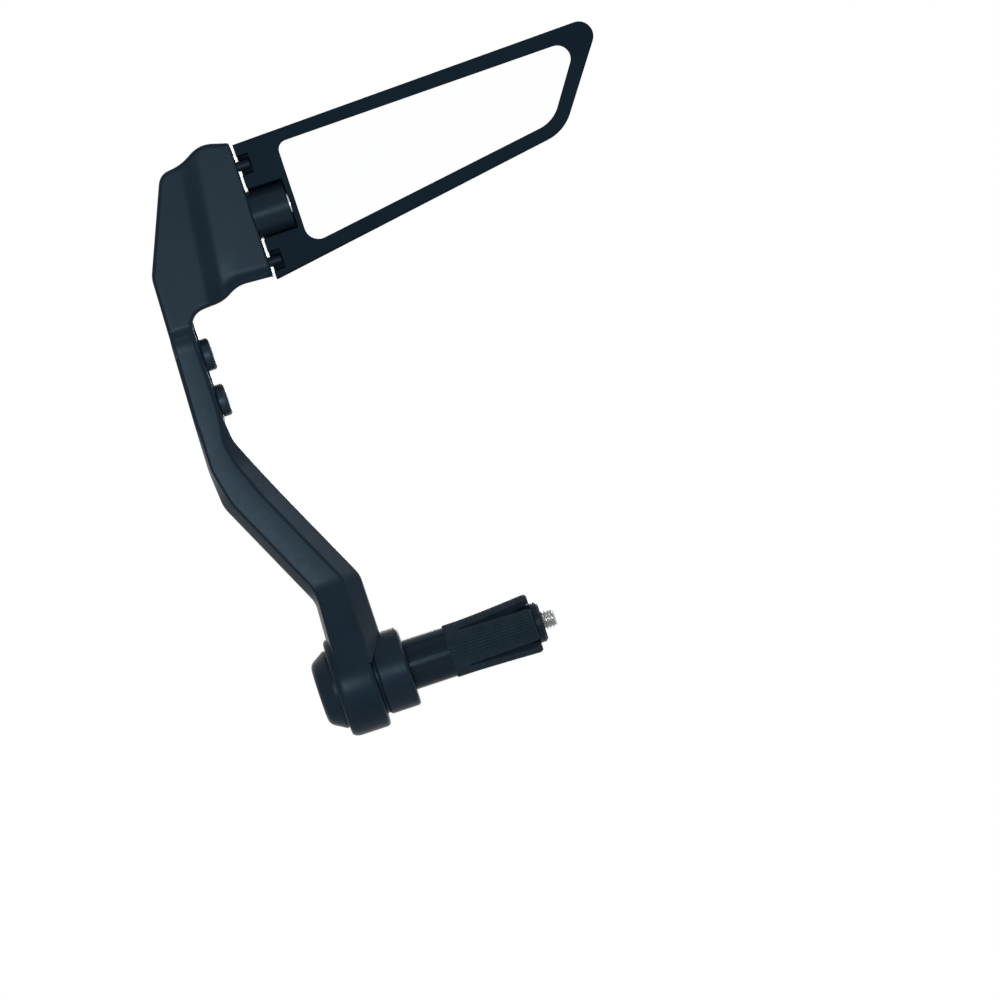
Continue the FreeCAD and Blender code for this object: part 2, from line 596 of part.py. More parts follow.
def make_upper_arm():
    """Paddle with its spine, and the tongue that is let into the upright bar."""
    body = new_body("upper_arm")
    left = "0 - shoulder_outer"
    edge = "0 - paddle_edge"
    corners = [
        (left, "shoulder_height"), (TONGUE_FACE, "shoulder_height"),
        (TONGUE_FACE, "shoulder_height + armpit_rise"),
        (f"{edge} - keel_out", "shoulder_height + keel_rise"),
        (f"{edge} - step_out", "wing_low + step_rise"), (edge, "wing_low + plate_rise"),
        (edge, "wing_top + plate_rise"), (f"{edge} - crest_out", "wing_top + crest_rise"),
        (f"{edge} - dip_out", "wing_top - dip_drop"), (f"{edge} - brow_out", "wing_top - brow_drop"),
        (f"{left} + temple_in", "shoulder_height + temple_rise")]
    outline = sketch_on(body, "paddle_outline", "XZ_Plane", "shoulder_depth")
    polygon(outline, corners)
    feature(body, "Pad", "paddle", outline, "shoulder_depth + paddle_back", True)
    for radius, places in [("armpit_round", (2,)), ("keel_round", (3, 4)), ("crest_round", (7, 8)),
                           ("brow_round", (9,))]:
        round_edges(body, f"{radius}ing", radius,
                    lambda item: any(upright_at(item, *corners[place]) for place in places))
    shape_paddle_front(body)
    tongue = sketch_on(body, "tongue_outline", "XZ_Plane", "tongue_half")
    polygon(tongue, box_corners(f"{TONGUE_SEAT} + run_clear", TONGUE_FACE, "tongue_low",
                                "shoulder_height + armpit_rise / 2"))
    feature(body, "Pad", "tongue", tongue, "2 * tongue_half", True)
    holes = sketch_on(body, "clamp_circles", "YZ_Plane", f"{TONGUE_FACE} + cut_over")
    for height in ("clamp_low", "clamp_low + clamp_pitch"):
        circle(holes, "0", height, "clamp_radius + screw_clear")
    feature(body, "Pocket", "clamp_holes", holes, "tongue_depth + tongue_proud + 2 * cut_over")
    seats = sketch_on(body, "spigot_circle", "YZ_Plane", f"{edge} + cut_over")
    circle(seats, "0", "pivot_height", "barrel_spigot + run_clear")
    feature(body, "Pocket", "spigot_seat", seats, "barrel_spigot + cut_over + free_clear")
    pins = sketch_on(body, "pin_circles", "YZ_Plane", f"{edge} + cut_over")
    for height in ("pivot_height - stop_offset", "pivot_height + stop_offset"):
        circle(pins, "0 - stop_front", height, "stop_radius + run_clear")
    feature(body, "Pocket", "pin_seats", pins, "stop_seat + cut_over")
    return body


def shape_paddle_front(body):
    """Lean the spine back and lower the plate beside it, with a soft flank between them."""
    low = "shoulder_height - cut_over"
    high = "wing_top + crest_rise + cut_over"
    above = "shoulder_depth + cut_over"
    slope = sketch_on(body, "front_slope", "YZ_Plane", "0 - shoulder_outer - cut_over")
    polygon(slope, [("0 - shoulder_depth", "shoulder_height"), (f"0 - ({above})", "shoulder_height"),
                    (f"0 - ({above})", high), ("0 - spine_front", high)])
    feature(body, "Pocket", "front_lean", slope, "shoulder_outer + 2 * cut_over", True)
    foot = [("0 - flank_low", low), ("0 - flank_top", high)]
    floor = sketch_on(body, "plate_outline", "XZ_Plane", "paddle_front")
    polygon(floor, [foot[0], ("cut_over", low), ("cut_over", high), foot[1]])
    plate = feature(body, "Pocket", "plate", floor, f"{above} - paddle_front", True)
    plate.setExpression("TaperAngle", bound("spine_flank"))
    doc.recompute()
    front = number("0 - paddle_front")
    wing_side = number("0 - paddle_edge - cut_over")
    bar_side = number("0 - bar_inner")
    seat = number("shoulder_height")
    half = number("(wing_top - wing_low) / 2")

    def on_flank(edge):
        """True for the long edges between spine and plate."""
        box = edge.BoundBox
        return box.ZLength > half and bar_side < box.XMin and box.XMax < wing_side

    def outside(edge):
        """True for an edge of the outline, apart from the wing side and the seat on the bar."""
        box = edge.BoundBox
        return box.XMin < wing_side and box.ZMax > seat + SLACK and not on_flank(edge)

    round_edges(body, "flank_foot", "plate_round",
                lambda edge: on_flank(edge) and on_level(edge, "0 - paddle_front"))
    round_edges(body, "spine_shoulder", "spine_round",
                lambda edge: on_flank(edge) and edge.BoundBox.YMax < number("0 - spine_front") + SLACK)
    round_edges(body, "front_edges", "paddle_round",
                lambda edge: outside(edge) and edge.BoundBox.YMax < front + SLACK)
    round_edges(body, "back_edges", "paddle_back_round",
                lambda edge: outside(edge) and on_level(edge, "paddle_back"))


def copies(label, body, heights):
    """Like pieces of one node, each a copy of a body set at its own height."""
    doc.recompute()
    solids = []
    for height in heights:
        solid = body.Shape.copy()
        solid.translate(FreeCAD.Vector(0, 0, number(height)))
        solids.append(solid)
    group = doc.addObject("Part::Feature", label)
    group.Label = label
    group.Shape = Part.makeCompound(solids)
    return group


def make_arm_screws():
    """Two button-head screws through the tongue into the bar."""
    crown = f"{TONGUE_FACE} + clamp_head_height"
    end = f"{TONGUE_SEAT} - clamp_thread"
    body = turned("arm_screw_blank", [
        (end, "0"), (crown, "0"), (crown, "clamp_head_radius - clamp_head_slope"),
        (f"{crown} - clamp_head_slope", "clamp_head_radius"), (TONGUE_FACE, "clamp_head_radius"),
        (TONGUE_FACE, "clamp_radius"), (end, "clamp_radius")])
    socket(body, crown, "clamp_socket", "clamp_socket_depth", False)
    return copies("arm_screws", body, ("clamp_low", "clamp_low + clamp_pitch"))


def make_stop_pins():
    """Two dowels in the paddle that meet the notches of the wing."""
    start = "0 - paddle_edge - stop_seat"
    end = "stop_reach - paddle_edge"
    body = turned("stop_pin_blank", [
        (start, "0"), (end, "0"), (end, "stop_radius - stop_chamfer"),
        (f"{end} - stop_chamfer", "stop_radius"), (start, "stop_radius")])
    body.setExpression("Placement.Base.y", bound("0 - stop_front"))
    return copies("stop_pins", body, ("pivot_height - stop_offset", "pivot_height + stop_offset"))


def make_end_cap():
    """Rounded cap plugged into the hub, with its ring."""
    plug = "hub_bore - run_clear"
    inner = "hub_bore - cap_wall"
    groove = f"{HUB_OUTER} + cap_plug / 2"
    floor = f"{HEAD_TOP} - cap_rim"
    body = turned("end_cap", [
        (f"{HUB_OUTER} - cap_length", "0"), (floor, "0"), (floor, inner),
        (f"{HUB_OUTER} + cap_plug", inner), (f"{HUB_OUTER} + cap_plug", plug),
        (f"{groove} + cap_ring / 2", plug), (f"{groove} + cap_ring / 2", f"{plug} - cap_ring"),
        (f"{groove} - cap_ring / 2", f"{plug} - cap_ring"), (f"{groove} - cap_ring / 2", plug),
        (HUB_OUTER, plug), (HUB_OUTER, "cap_radius"), (f"{HUB_OUTER} - cap_rim", "cap_radius"),
        (f"{HUB_OUTER} - cap_length", "cap_nose")])
    round_edges(body, "cap_nose_edge", "cap_edge",
                lambda edge: ring_at(edge, f"{HUB_OUTER} - cap_length", "cap_nose"))
    seal = washer("cap_ring", f"{groove} - cap_ring / 2 + run_clear", "cap_ring - 2 * run_clear",
                  f"{plug} - cap_ring + run_clear", plug)
    return [body, seal]


# Pivot

def make_pivot_barrel():
    """Half-seen barrel on the paddle that the wing turns on."""
    edge = "0 - paddle_edge"
    bore = "pivot_thread + run_clear"
    return at_pivot(turned("pivot_barrel", [
        (f"{edge} - barrel_spigot", bore), ("barrel_end", bore), ("barrel_end", "barrel_radius"),
        (edge, "barrel_radius"), (edge, "barrel_spigot"), (f"{edge} - barrel_spigot",
                                                           "barrel_spigot")]))


def make_pivot_screw():
    """Shoulder screw that holds the wing to the barrel."""
    top = f"{PIVOT_HEAD} + pivot_head_height"
    body = turned("pivot_screw", [
        (PIVOT_TIP, "0"), (top, "0"), (top, "pivot_head_radius"),
        (PIVOT_HEAD, "pivot_head_radius"), (PIVOT_HEAD, "pivot_radius"),
        ("barrel_end", "pivot_radius"), ("barrel_end", "pivot_thread"),
        (PIVOT_TIP, "pivot_thread")])
    socket(body, top, "pivot_socket", "pivot_socket_depth", False)
    return at_pivot(body)


def make_pivot_washers():
    """Bush, friction washer, washer and wave washer of the pivot."""
    hole = "pivot_radius + run_clear"
    pieces = [
        washer("pivot_bush", POCKET_END, "wing_wall", hole, "pivot_radius + bush_wall"),
        washer("pivot_friction_washer", f"{POCKET_END} - disc_thick", "disc_thick", hole,
               "disc_radius"),
        washer("pivot_washer", f"{PIVOT_HEAD} - pivot_washer_thick", "pivot_washer_thick", hole,
               "pivot_rim"),
        washer("pivot_wave_washer", f"{WALL_END} + seat_clear", "pivot_wave_thick", hole,
               "pivot_rim"),
    ]
    return [at_pivot(piece) for piece in pieces]


# Wing

def glass_corners(grow="0"):
    """Outline of the glass, moved outwards by a margin."""
    return [
        (f"glass_left - {grow}", f"glass_low - {grow}"),
        (f"glass_heel + {grow}", f"glass_heel_height - {grow}"),
        (f"glass_tip + {grow} * point_share", f"glass_tip_top + {grow}"),
        (f"glass_left - {grow}", f"glass_top + {grow}")]


def round_glass_corners(body, name, corners, margin="0"):
    """Round the four upright corners of an outline of the glass."""
    for place, radius in enumerate(("glass_low_round", "glass_heel_round", "glass_tip_round",
                                    "glass_round")):
        round_edges(body, f"{name}_{place + 1}", f"{radius} + {margin}",
                    lambda edge: upright_at(edge, *corners[place]))


def make_mirror_housing():
    """Wing with its glass recess, hollow, barrel pocket and stop notches."""
    body = new_body("mirror_housing")
    corners = [(WING_EDGE, "wing_low"), ("heel_reach", "heel_height"), ("tip_reach", "tip_top"),
               (WING_EDGE, "wing_top")]
    outline = sketch_on(body, "wing_outline", "XZ_Plane", "paddle_front")
    polygon(outline, corners)
    feature(body, "Pad", "wing", outline, "paddle_front + paddle_back", True)
    taper = sketch_on(body, "back_taper", "XY_Plane", "tip_top + cut_over")
    polygon(taper, [(WING_EDGE, "paddle_back"), ("tip_reach", "tip_back"),
                    ("tip_reach + cut_over", "tip_back"),
                    ("tip_reach + cut_over", "paddle_back + cut_over"),
                    (WING_EDGE, "paddle_back + cut_over")])
    feature(body, "Pocket", "back_slope", taper, "tip_top - wing_low + 2 * cut_over")
    round_edges(body, "tip_corner", "tip_round",
                lambda edge: upright_at(edge, "tip_reach", "tip_top"))
    round_edges(body, "heel_corner", "heel_round",
                lambda edge: upright_at(edge, "heel_reach", "heel_height"))
    round_edges(body, "back_edges", "wing_back_round",
                lambda edge: edge.BoundBox.YMin > number("tip_back") - SLACK
                and edge.BoundBox.XMax > number(f"{WING_EDGE} + cut_over"))
    round_edges(body, "front_edges", "wing_front_round",
                lambda edge: on_level(edge, "0 - paddle_front"))
    margin = "(free_clear / 2)"
    recess = sketch_on(body, "glass_recess_outline", "XZ_Plane", "paddle_front")
    polygon(recess, glass_corners(margin))
    feature(body, "Pocket", "glass_recess", recess,
            "glass_sink + glass_thick + glass_tape_thick")
    round_glass_corners(body, "recess_corner", glass_corners(margin), margin)
    hollow = sketch_on(body, "hollow_outline", "XZ_Plane", "paddle_front")
    low_left, heel, point, top_left = glass_corners("(0 - glass_ledge)")
    polygon(hollow, [(WALL_END, low_left[1]), heel, point, (WALL_END, top_left[1])])
    feature(body, "Pocket", "hollow", hollow, "wing_cavity")
    pit = sketch_on(body, "screw_pit_outline", "XZ_Plane", "paddle_front")
    reach = f"{PIVOT_HEAD} + pivot_head_height - {PIVOT_TIP}"
    half = "(pivot_head_radius + 2 * free_clear)"
    polygon(pit, box_corners(WALL_END, f"{WALL_END} + {reach}", f"pivot_height - {half}",
                             f"pivot_height + {half}"))
    feature(body, "Pocket", "screw_pit", pit, f"paddle_front + {half}")
    pocket_half = "(barrel_radius + free_clear)"
    pocket = sketch_on(body, "barrel_pocket_outline", "XZ_Plane", "paddle_front")
    polygon(pocket, box_corners(f"{WING_EDGE} - cut_over", POCKET_END, f"pivot_height - {pocket_half}",
                                f"pivot_height + {pocket_half}"))
    feature(body, "Pocket", "barrel_mouth", pocket, "paddle_front")
    cradle = sketch_on(body, "barrel_circle", "YZ_Plane", f"{WING_EDGE} - cut_over")
    circle(cradle, "0", "pivot_height", pocket_half)
    feature(body, "Pocket", "barrel_cradle", cradle, f"{POCKET_END} - {WING_EDGE} + cut_over", True)
    bore = sketch_on(body, "bush_circle", "YZ_Plane", f"{POCKET_END} - cut_over")
    circle(bore, "0", "pivot_height", "pivot_radius + bush_wall + run_clear")
    feature(body, "Pocket", "bush_bore", bore, "wing_wall + 2 * cut_over", True)
    notch_half = "(stop_radius + stop_front * sin(tilt_limit) + 2 * free_clear)"
    notches = sketch_on(body, "notch_outline", "XZ_Plane", "paddle_front")
    for middle in ("pivot_height - stop_offset", "pivot_height + stop_offset"):
        polygon(notches, box_corners(f"{WING_EDGE} - cut_over", f"{WING_EDGE} + {NOTCH_DEPTH}",
                                     f"{middle} - {notch_half}", f"{middle} + {notch_half}"))
    feature(body, "Pocket", "stop_notches", notches, f"paddle_front + {NOTCH_FLOOR}")
    round_edges(body, "pocket_lips", "lip_round",
                lambda edge: on_level(edge, "0 - paddle_front") and edge.BoundBox.ZLength < SLACK
                and (near(edge.BoundBox.Center.z, f"pivot_height - {pocket_half}")
                     or near(edge.BoundBox.Center.z, f"pivot_height + {pocket_half}")))
    return body


def make_mirror_glass():
    """Flat mirror glass with rounded corners."""
    body = new_body("mirror_glass")
    corners = glass_corners()
    outline = sketch_on(body, "glass_outline", "XZ_Plane", f"0 - {GLASS_FACE}")
    polygon(outline, corners)
    feature(body, "Pad", "glass", outline, "glass_thick", True)
    round_glass_corners(body, "glass_corner", corners)
    return body


def make_glass_tape():
    """Frame of adhesive tape between the glass and its ledge."""
    body = new_body("glass_tape")
    outline = sketch_on(body, "tape_outline", "XZ_Plane", f"0 - {GLASS_BACK}")
    margins = {"tape_inside": "(0 - tape_inset - tape_width)", "tape_outside": "(0 - tape_inset)"}
    for margin in margins.values():
        polygon(outline, glass_corners(margin))
    feature(body, "Pad", "tape", outline, "glass_tape_thick", True)
    for name, margin in margins.items():
        round_glass_corners(body, name, glass_corners(margin), margin)
    return body


def main():
    """Build every piece, check it and write its file."""
    pieces = [make_expander_sleeve(), make_wedge_nut(), make_spacer_tube(), make_bar_collar(),
              make_bar_end_screw(), *make_insert_washers(),
              make_lower_arm(), make_upper_arm(), make_arm_screws(), make_stop_pins(),
              *make_end_cap(), make_pivot_barrel(), make_pivot_screw(), *make_pivot_washers(),
              make_mirror_housing(), make_mirror_glass(), make_glass_tape()]
    doc.recompute()
    for item in doc.Objects:
        if "Invalid" in item.State or "Error" in item.State:
            raise RuntimeError(f"{item.Label} failed: {item.State}")
    for piece in pieces:
        if piece.Shape.isNull() or not piece.Shape.isValid():
            raise RuntimeError(f"{piece.Label} has no valid solid")
    os.makedirs("parts", exist_ok=True)
    for piece in pieces:
        piece.Shape.exportStep(f"parts/{piece.Label}.step")
        print(f"{piece.Label}: {len(piece.Shape.Solids)} solid, {piece.Shape.Volume:.0f} mm3")


main()
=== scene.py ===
"""Looks of the bar-end wing mirror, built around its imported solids.

Everything is in metres in the frame of the solids: the origin is on the bar axis
where the end of the bar butts on, +X runs into the bar, +Z is up, the glass faces -Y.
"""
import math

import bmesh
import bpy
import numpy as np
from bpy.props import FloatProperty, FloatVectorProperty, IntProperty, PointerProperty
from mathutils import Matrix, Vector
from mathutils.geometry import delaunay_2d_cdt


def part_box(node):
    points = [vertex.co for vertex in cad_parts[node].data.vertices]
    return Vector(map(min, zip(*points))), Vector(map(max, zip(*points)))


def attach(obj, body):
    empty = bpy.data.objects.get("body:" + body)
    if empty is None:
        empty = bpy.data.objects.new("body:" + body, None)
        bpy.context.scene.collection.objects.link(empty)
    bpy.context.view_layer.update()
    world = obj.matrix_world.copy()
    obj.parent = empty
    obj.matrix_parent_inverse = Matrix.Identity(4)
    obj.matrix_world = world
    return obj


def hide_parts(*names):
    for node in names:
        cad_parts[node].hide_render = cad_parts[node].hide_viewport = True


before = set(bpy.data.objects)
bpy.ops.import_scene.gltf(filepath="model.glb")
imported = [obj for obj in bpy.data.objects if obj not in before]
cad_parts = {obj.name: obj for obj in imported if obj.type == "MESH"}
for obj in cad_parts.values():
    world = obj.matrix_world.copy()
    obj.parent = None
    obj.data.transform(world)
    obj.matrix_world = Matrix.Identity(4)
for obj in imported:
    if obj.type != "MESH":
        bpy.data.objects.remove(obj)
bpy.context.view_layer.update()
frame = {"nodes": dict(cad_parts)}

bl_info = {
    "name": "Bar-end wing mirror",
    "version": (1, 0, 0),
    "blender": (4, 5, 0),
    "location": "3D View > Sidebar > Mirror",
    "description": "Builds the looks of a bar-end wing mirror around its solids",
    "category": "Object",
}

MM = 0.001
SHOULDER = 122.85  # millimetres up to where the bar turns into the paddle
WHITE = (1.0, 1.0, 1.0, 1.0)
COOL = (0.55, 0.8, 1.0, 1.0)  # tint of the sheen on the black finishes
NYLON = (0.02, 0.02, 0.022)
SEAL = (0.015, 0.015, 0.015)
FOAM = (0.02, 0.02, 0.02)
PALE = (0.9, 0.9, 0.9)
SLACK = 1e-9  # metres by which places along the bar may differ and still be the same

# Sections of the arm in millimetres, from its foot on the hub to the shoulder: height, outer side,
# inner side, front, back, outer facet, inner facet and half the flat between the facets.
ARM_SECTIONS = np.array([
    (-20.0, 24.0, 5.6, 22.9, 22.9, 1.2, 5.2, 7.7),
    (4.8, 22.8, 5.6, 15.4, 15.4, 1.2, 5.2, 4.5),
    (27.9, 21.7, 5.6, 8.3, 8.3, 1.2, 5.2, 1.97),
    (32.2, 23.76, 5.6, 7.0, 7.0, 3.0, 5.2, 1.5),
    (65.5, 39.7, 21.65, 7.0, 7.0, 3.0, 5.2, 1.5),
    (77.5, 40.6, 27.1, 7.0, 7.0, 1.0, 4.4, 1.5),
    (84.7, 40.35, 30.1, 7.0, 7.0, 1.0, 2.8, 3.9),
    (92.7, 40.06, 30.8, 7.0, 7.0, 1.0, 1.0, 6.0),
    (117.2, 39.2, 30.9, 7.0, 7.0, 1.0, 1.0, 6.0),
    (120.8, 39.05, 30.9, 8.0, 8.75, 1.0, 1.0, 6.0),
    (SHOULDER, 38.3, 31.5, 8.0, 9.0, 1.0, 1.0, 6.0),
    (124.9, 37.55, 32.1, 8.0, 9.25, 1.0, 1.0, 6.0)])

# Corners of the paddle seen from the front in millimetres: x, z and how far each is rounded off.
PADDLE_CORNERS = np.array([
    (-39.1, 114.0, 0.4), (-31.2, 114.0, 0.4), (-30.6, 126.2, 5.8), (-19.05, 126.85, 3.0),
    (-13.45, 130.2, 3.2), (-1.85, 129.5, 1.0), (-1.85, 173.6, 1.0), (-10.8, 176.2, 4.4),
    (-18.6, 171.7, 3.8), (-25.6, 171.0, 3.4), (-38.25, 140.85, 1.6)])

# Lines of the paddle in millimetres.
CREST_RISE = 53.0  # height of the crest above the shoulder
FLANK_FOOT = -21.8  # x of the flank line, where the spine falls to the plate, at the shoulder
FLANK_LEAN = 6.4  # how far the flank line leans towards the wing on its way to the crest
PLATE_FOOT_X, PLATE_FOOT_Z = PADDLE_CORNERS[4, :2]  # outer end of the plate's lower edge
PLATE_FOOT_FALL = 0.06  # fall of that edge for each millimetre towards the wing
RAMP_START = ARM_SECTIONS[8, 0]  # height where the bar begins to thicken into the paddle
SUNK_DEPTH = 6.8  # half depth of the paddle's foot, just under the faces of the bar


# Sizes and colours that a user would change

def length_setting(name, description, default):
    """A length in metres, shown to a hundredth of a millimetre."""
    return FloatProperty(name=name, description=description, default=default, precision=5,
                         subtype="DISTANCE", unit="LENGTH")


def colour_setting(name, description, default):
    """A linear colour."""
    return FloatVectorProperty(name=name, description=description, default=default,
                               subtype="COLOR", min=0, max=1)


def power_setting(name, description, default):
    """The power of a light in watts."""
    return FloatProperty(name=name, description=description, default=default,
                         subtype="POWER", unit="POWER")


class ArmSettings(bpy.types.PropertyGroup):
    """Soft edges of the dog-leg arm and its hub ring."""
    soft: length_setting("Soft bend", "Half the length over which a bend is smoothed", 1.8 * MM)
    edge: length_setting("Edge rounding", "Rounded long edges of the arm", 0.9 * MM)
    hub_edge: length_setting("Hub rounding", "Rounded edges of the hub ring", 1.4 * MM)
    bore: length_setting("Hub bore", "Radius of the bore on the collar's spigot", 7.55 * MM)
    well: length_setting("Screw well", "Radius of the well for the screw head", 9.0 * MM)
    web: length_setting("Web", "Thickness of the web between bore and well", 3.8 * MM)
    ring: length_setting("Hub length", "Length of the hub ring along the bar", 12.6 * MM)
    saddle: length_setting("Saddle", "Radius of the hollow over the collar", 13.5 * MM)


class PaddleSettings(bpy.types.PropertyGroup):
    """Relief of the paddle's front and back, and its rounded rims."""
    plate: length_setting("Plate front", "Front of the plate before the middle plane", 6.8 * MM)
    spine: length_setting("Spine front", "Front of the spine at the shoulder", 8.6 * MM)
    crown: length_setting("Spine top", "Front of the spine at the crest", 7.3 * MM)
    flank: length_setting("Flank width", "Width of the soft slope from spine to plate", 6.5 * MM)
    hollow: length_setting("Hollow", "Depth of the hollow at the foot of the flank", 0.6 * MM)
    rim: length_setting("Rim rounding", "Rounded front edge", 1.3 * MM)
    lower_rim: length_setting("Lower rim", "Rounded front edge along the plate's foot", 4.2 * MM)
    back: length_setting("Back", "Back of the paddle behind the middle plane", 9.8 * MM)
    back_fall: length_setting("Back fall", "Fall from spine to plate on the back", 0.8 * MM)
    back_rim: length_setting("Back rounding", "Rounded back edge", 1.7 * MM)
    draft: length_setting("Draft", "How far the sides lean in towards the back", 0.9 * MM)


class SleeveSettings(bpy.types.PropertyGroup):
    """Ribbed, slit sleeve that grips inside the bar."""
    ribs: IntProperty(name="Ribs", description="Lengthwise ribs around the sleeve",
                      default=48, min=8)
    groove: length_setting("Groove depth", "Depth of the grooves between ribs", 0.24 * MM)
    root: length_setting("Unslit root", "Length of the sleeve before the slots begin", 4.7 * MM)
    slot_root: length_setting("Slot at its root", "Width of a slot just past its root", 0.8 * MM)
    slot_tip: length_setting("Slot at the tip", "Width of a slot at the finger tips", 2.2 * MM)
    spread: length_setting("Finger spread", "How far the finger tips stand outwards", 0.8 * MM)
    lift: length_setting("Top finger", "How much further the top finger stands out", 0.6 * MM)
    tip_round: length_setting("Tip rounding", "Rounded outer edge of the finger tips", 1.5 * MM)
    tip_bore: length_setting("Bore at the tips", "Inner radius at the finger tips", 6.6 * MM)
    bore: length_setting("Bore", "Inner radius around the screw", 3.3 * MM)
    wedge: length_setting("Tapered length", "Length of the tapered bore", 14.3 * MM)


class ScrewSettings(bpy.types.PropertyGroup):
    """Threaded tip of the bar-end screw and heads of the arm screws."""
    pitch: length_setting("Pitch", "Pitch of the bar-end screw's thread", 1.0 * MM)
    thread: length_setting("Thread depth", "Depth of the bar-end screw's thread", 0.62 * MM)
    threaded: length_setting("Threaded length", "Length of the thread from the tip", 22.0 * MM)
    head_round: length_setting("Head rounding", "Rounded edge of the arm screws' heads", 1.0 * MM)
    head_height: length_setting("Head height", "Height of the arm screws' heads", 2.8 * MM)
    shank: length_setting("Shank radius", "Shank radius of all the screws", 3.0 * MM)


class FinishSettings(bpy.types.PropertyGroup):
    """Colours of the finishes."""
    coat: colour_setting("Arm coat", "Powder coat of the arm castings", (0.0075, 0.0145, 0.0225))
    wing: colour_setting("Wing coat", "Powder coat of the wing housing", (0.0076, 0.0152, 0.0236))
    collar: colour_setting("Collar black", "Black of collar, cap, barrel and friction ring",
                           (0.0078, 0.0148, 0.0225))
    spacer: colour_setting("Spacer black", "Semi-gloss black of the spacer tube",
                           (0.0062, 0.0118, 0.0168))
    rubber: colour_setting("Sleeve rubber", "Rubber of the sleeve", (0.0080, 0.0150, 0.0215))
    oxide: colour_setting("Black oxide", "Black steel of arm screws, stop pins and wedge nut",
                          (0.0085, 0.0150, 0.0220))
    screw: colour_setting("Screw zinc", "Duller zinc plate of the bar-end screw",
                          (0.44, 0.45, 0.45))
    zinc: colour_setting("Zinc", "Bright zinc plate of the pivot screw and the washers",
                         (0.70, 0.71, 0.71))
    silver: colour_setting("Mirror silver", "Silvering of the glass", (0.99, 0.995, 0.995))


class StageSettings(bpy.types.PropertyGroup):
    """Camera, light and floor."""
    distance: length_setting("Camera distance", "Camera in front of the bar axis", 2.5)
    frame: length_setting("Framed width", "Width of the picture at the bar axis", 0.3148)
    centre_x: length_setting("Centre along the bar", "Middle of the picture along X", 0.0436)
    centre_z: length_setting("Centre height", "Middle of the picture along Z", 0.0403)
    roll: FloatProperty(name="Roll", description="How far the bar axis rises to the right",
                        default=math.radians(18.4), subtype="ANGLE", unit="ROTATION")
    floor_drop: length_setting("Floor below", "Floor below the bar axis", 0.34)
    key: power_setting("Key light", "Power of the key light", 9.0)
    fill: power_setting("Fill light", "Power of the fill light", 4.0)
    back: power_setting("Back light", "Power of the light behind", 6.0)
    sky: FloatProperty(name="Sky", description="Strength of the even light from all round",
                       default=0.26, min=0)


# Meshes

def grid_faces(rows, columns, wrap):
    """Quads of a grid of points stored row by row; wrap joins the last column to the first."""
    row = np.arange(rows - 1)[:, None]
    column = np.arange(columns if wrap else columns - 1)[None, :]
    following = (column + 1) % columns
    corners = [row * columns + column, row * columns + following,
               (row + 1) * columns + following, (row + 1) * columns + column]
    return np.stack(corners, axis=-1).reshape(-1, 4)


def new_piece(name, points, faces, sharp=30.0):
    """A mesh object of the points and faces, with poles and seams merged and smooth faces.

    Edges that bend by more than the sharp angle, in degrees, stay hard."""
    mesh = bpy.data.meshes.new(name)
    mesh.from_pydata(points.reshape(-1, 3).tolist(), [], [list(face) for face in faces])
    work = bmesh.new()
    work.from_mesh(mesh)
    bmesh.ops.remove_doubles(work, verts=work.verts, dist=1e-6)
    bmesh.ops.dissolve_degenerate(work, edges=work.edges, dist=1e-7)
    bmesh.ops.recalc_face_normals(work, faces=work.faces)
    work.to_mesh(mesh)
    work.free()
    mesh.shade_smooth()
    mesh.set_sharp_from_angle(angle=math.radians(sharp))
    piece = bpy.data.objects.new(name, mesh)
    bpy.context.scene.collection.objects.link(piece)
    return piece


def turned_points(x, radius, columns):
    """Profile turned about X: each row is a ring at x whose radius may differ by angle.

    A point is (x, r cos a, r sin a), with r a number for each row or a row of numbers."""
    angle = np.linspace(0, 2 * np.pi, columns, endpoint=False)
    radius = np.broadcast_to(np.asarray(radius, float), (len(x), columns))
    along = np.broadcast_to(np.asarray(x, float)[:, None], radius.shape)
    return np.stack([along, radius * np.cos(angle), radius * np.sin(angle)], axis=-1)


def rounded_outline(corners, cut, steps):
    """Polygons with their corners rounded off: an array of rows of corners becomes rows of points.

    Each corner P gives way to the parabola (1-t)^2 A + 2t(1-t) P + t^2 B between the points A and B
    that lie the cut, or nearly half of the shorter side, before and after it."""
    largest = 0.46  # share of the shorter side
    before = np.roll(corners, 1, axis=1) - corners
    after = np.roll(corners, -1, axis=1) - corners
    length = [np.linalg.norm(side, axis=-1, keepdims=True) for side in (before, after)]
    cut = np.minimum(cut, largest * np.minimum(*length))
    start = corners + before / length[0] * cut
    end = corners + after / length[1] * cut
    t = np.linspace(0, 1, steps)[:, None]
    points = ((1 - t) ** 2 * start[:, :, None] + 2 * t * (1 - t) * corners[:, :, None]
              + t ** 2 * end[:, :, None])
    return points.reshape(len(corners), -1, corners.shape[-1])


def capped(points):
    """Rings of points with their two ends closed by a point in the middle of each."""
    ends = [np.broadcast_to(points[place].mean(axis=0), points[place].shape) for place in (0, -1)]
    return np.concatenate([ends[0][None], points, ends[1][None]])


def joined(*shells):
    """Several wrapped grids of points as one list of points and faces."""
    starts = np.cumsum([0] + [shell.shape[0] * shell.shape[1] for shell in shells])
    faces = [grid_faces(*shell.shape[:2], True) + start for shell, start in zip(shells, starts)]
    return np.concatenate([shell.reshape(-1, 3) for shell in shells]), np.concatenate(faces)


def hexagon_radius(flats, columns):
    """Radius of a hexagon by angle: half its width over the cosine to the nearest flat."""
    angle = np.linspace(0, 2 * np.pi, columns, endpoint=False)
    return flats / 2 / np.cos((angle + np.pi / 6) % (np.pi / 3) - np.pi / 6)


# Finishes

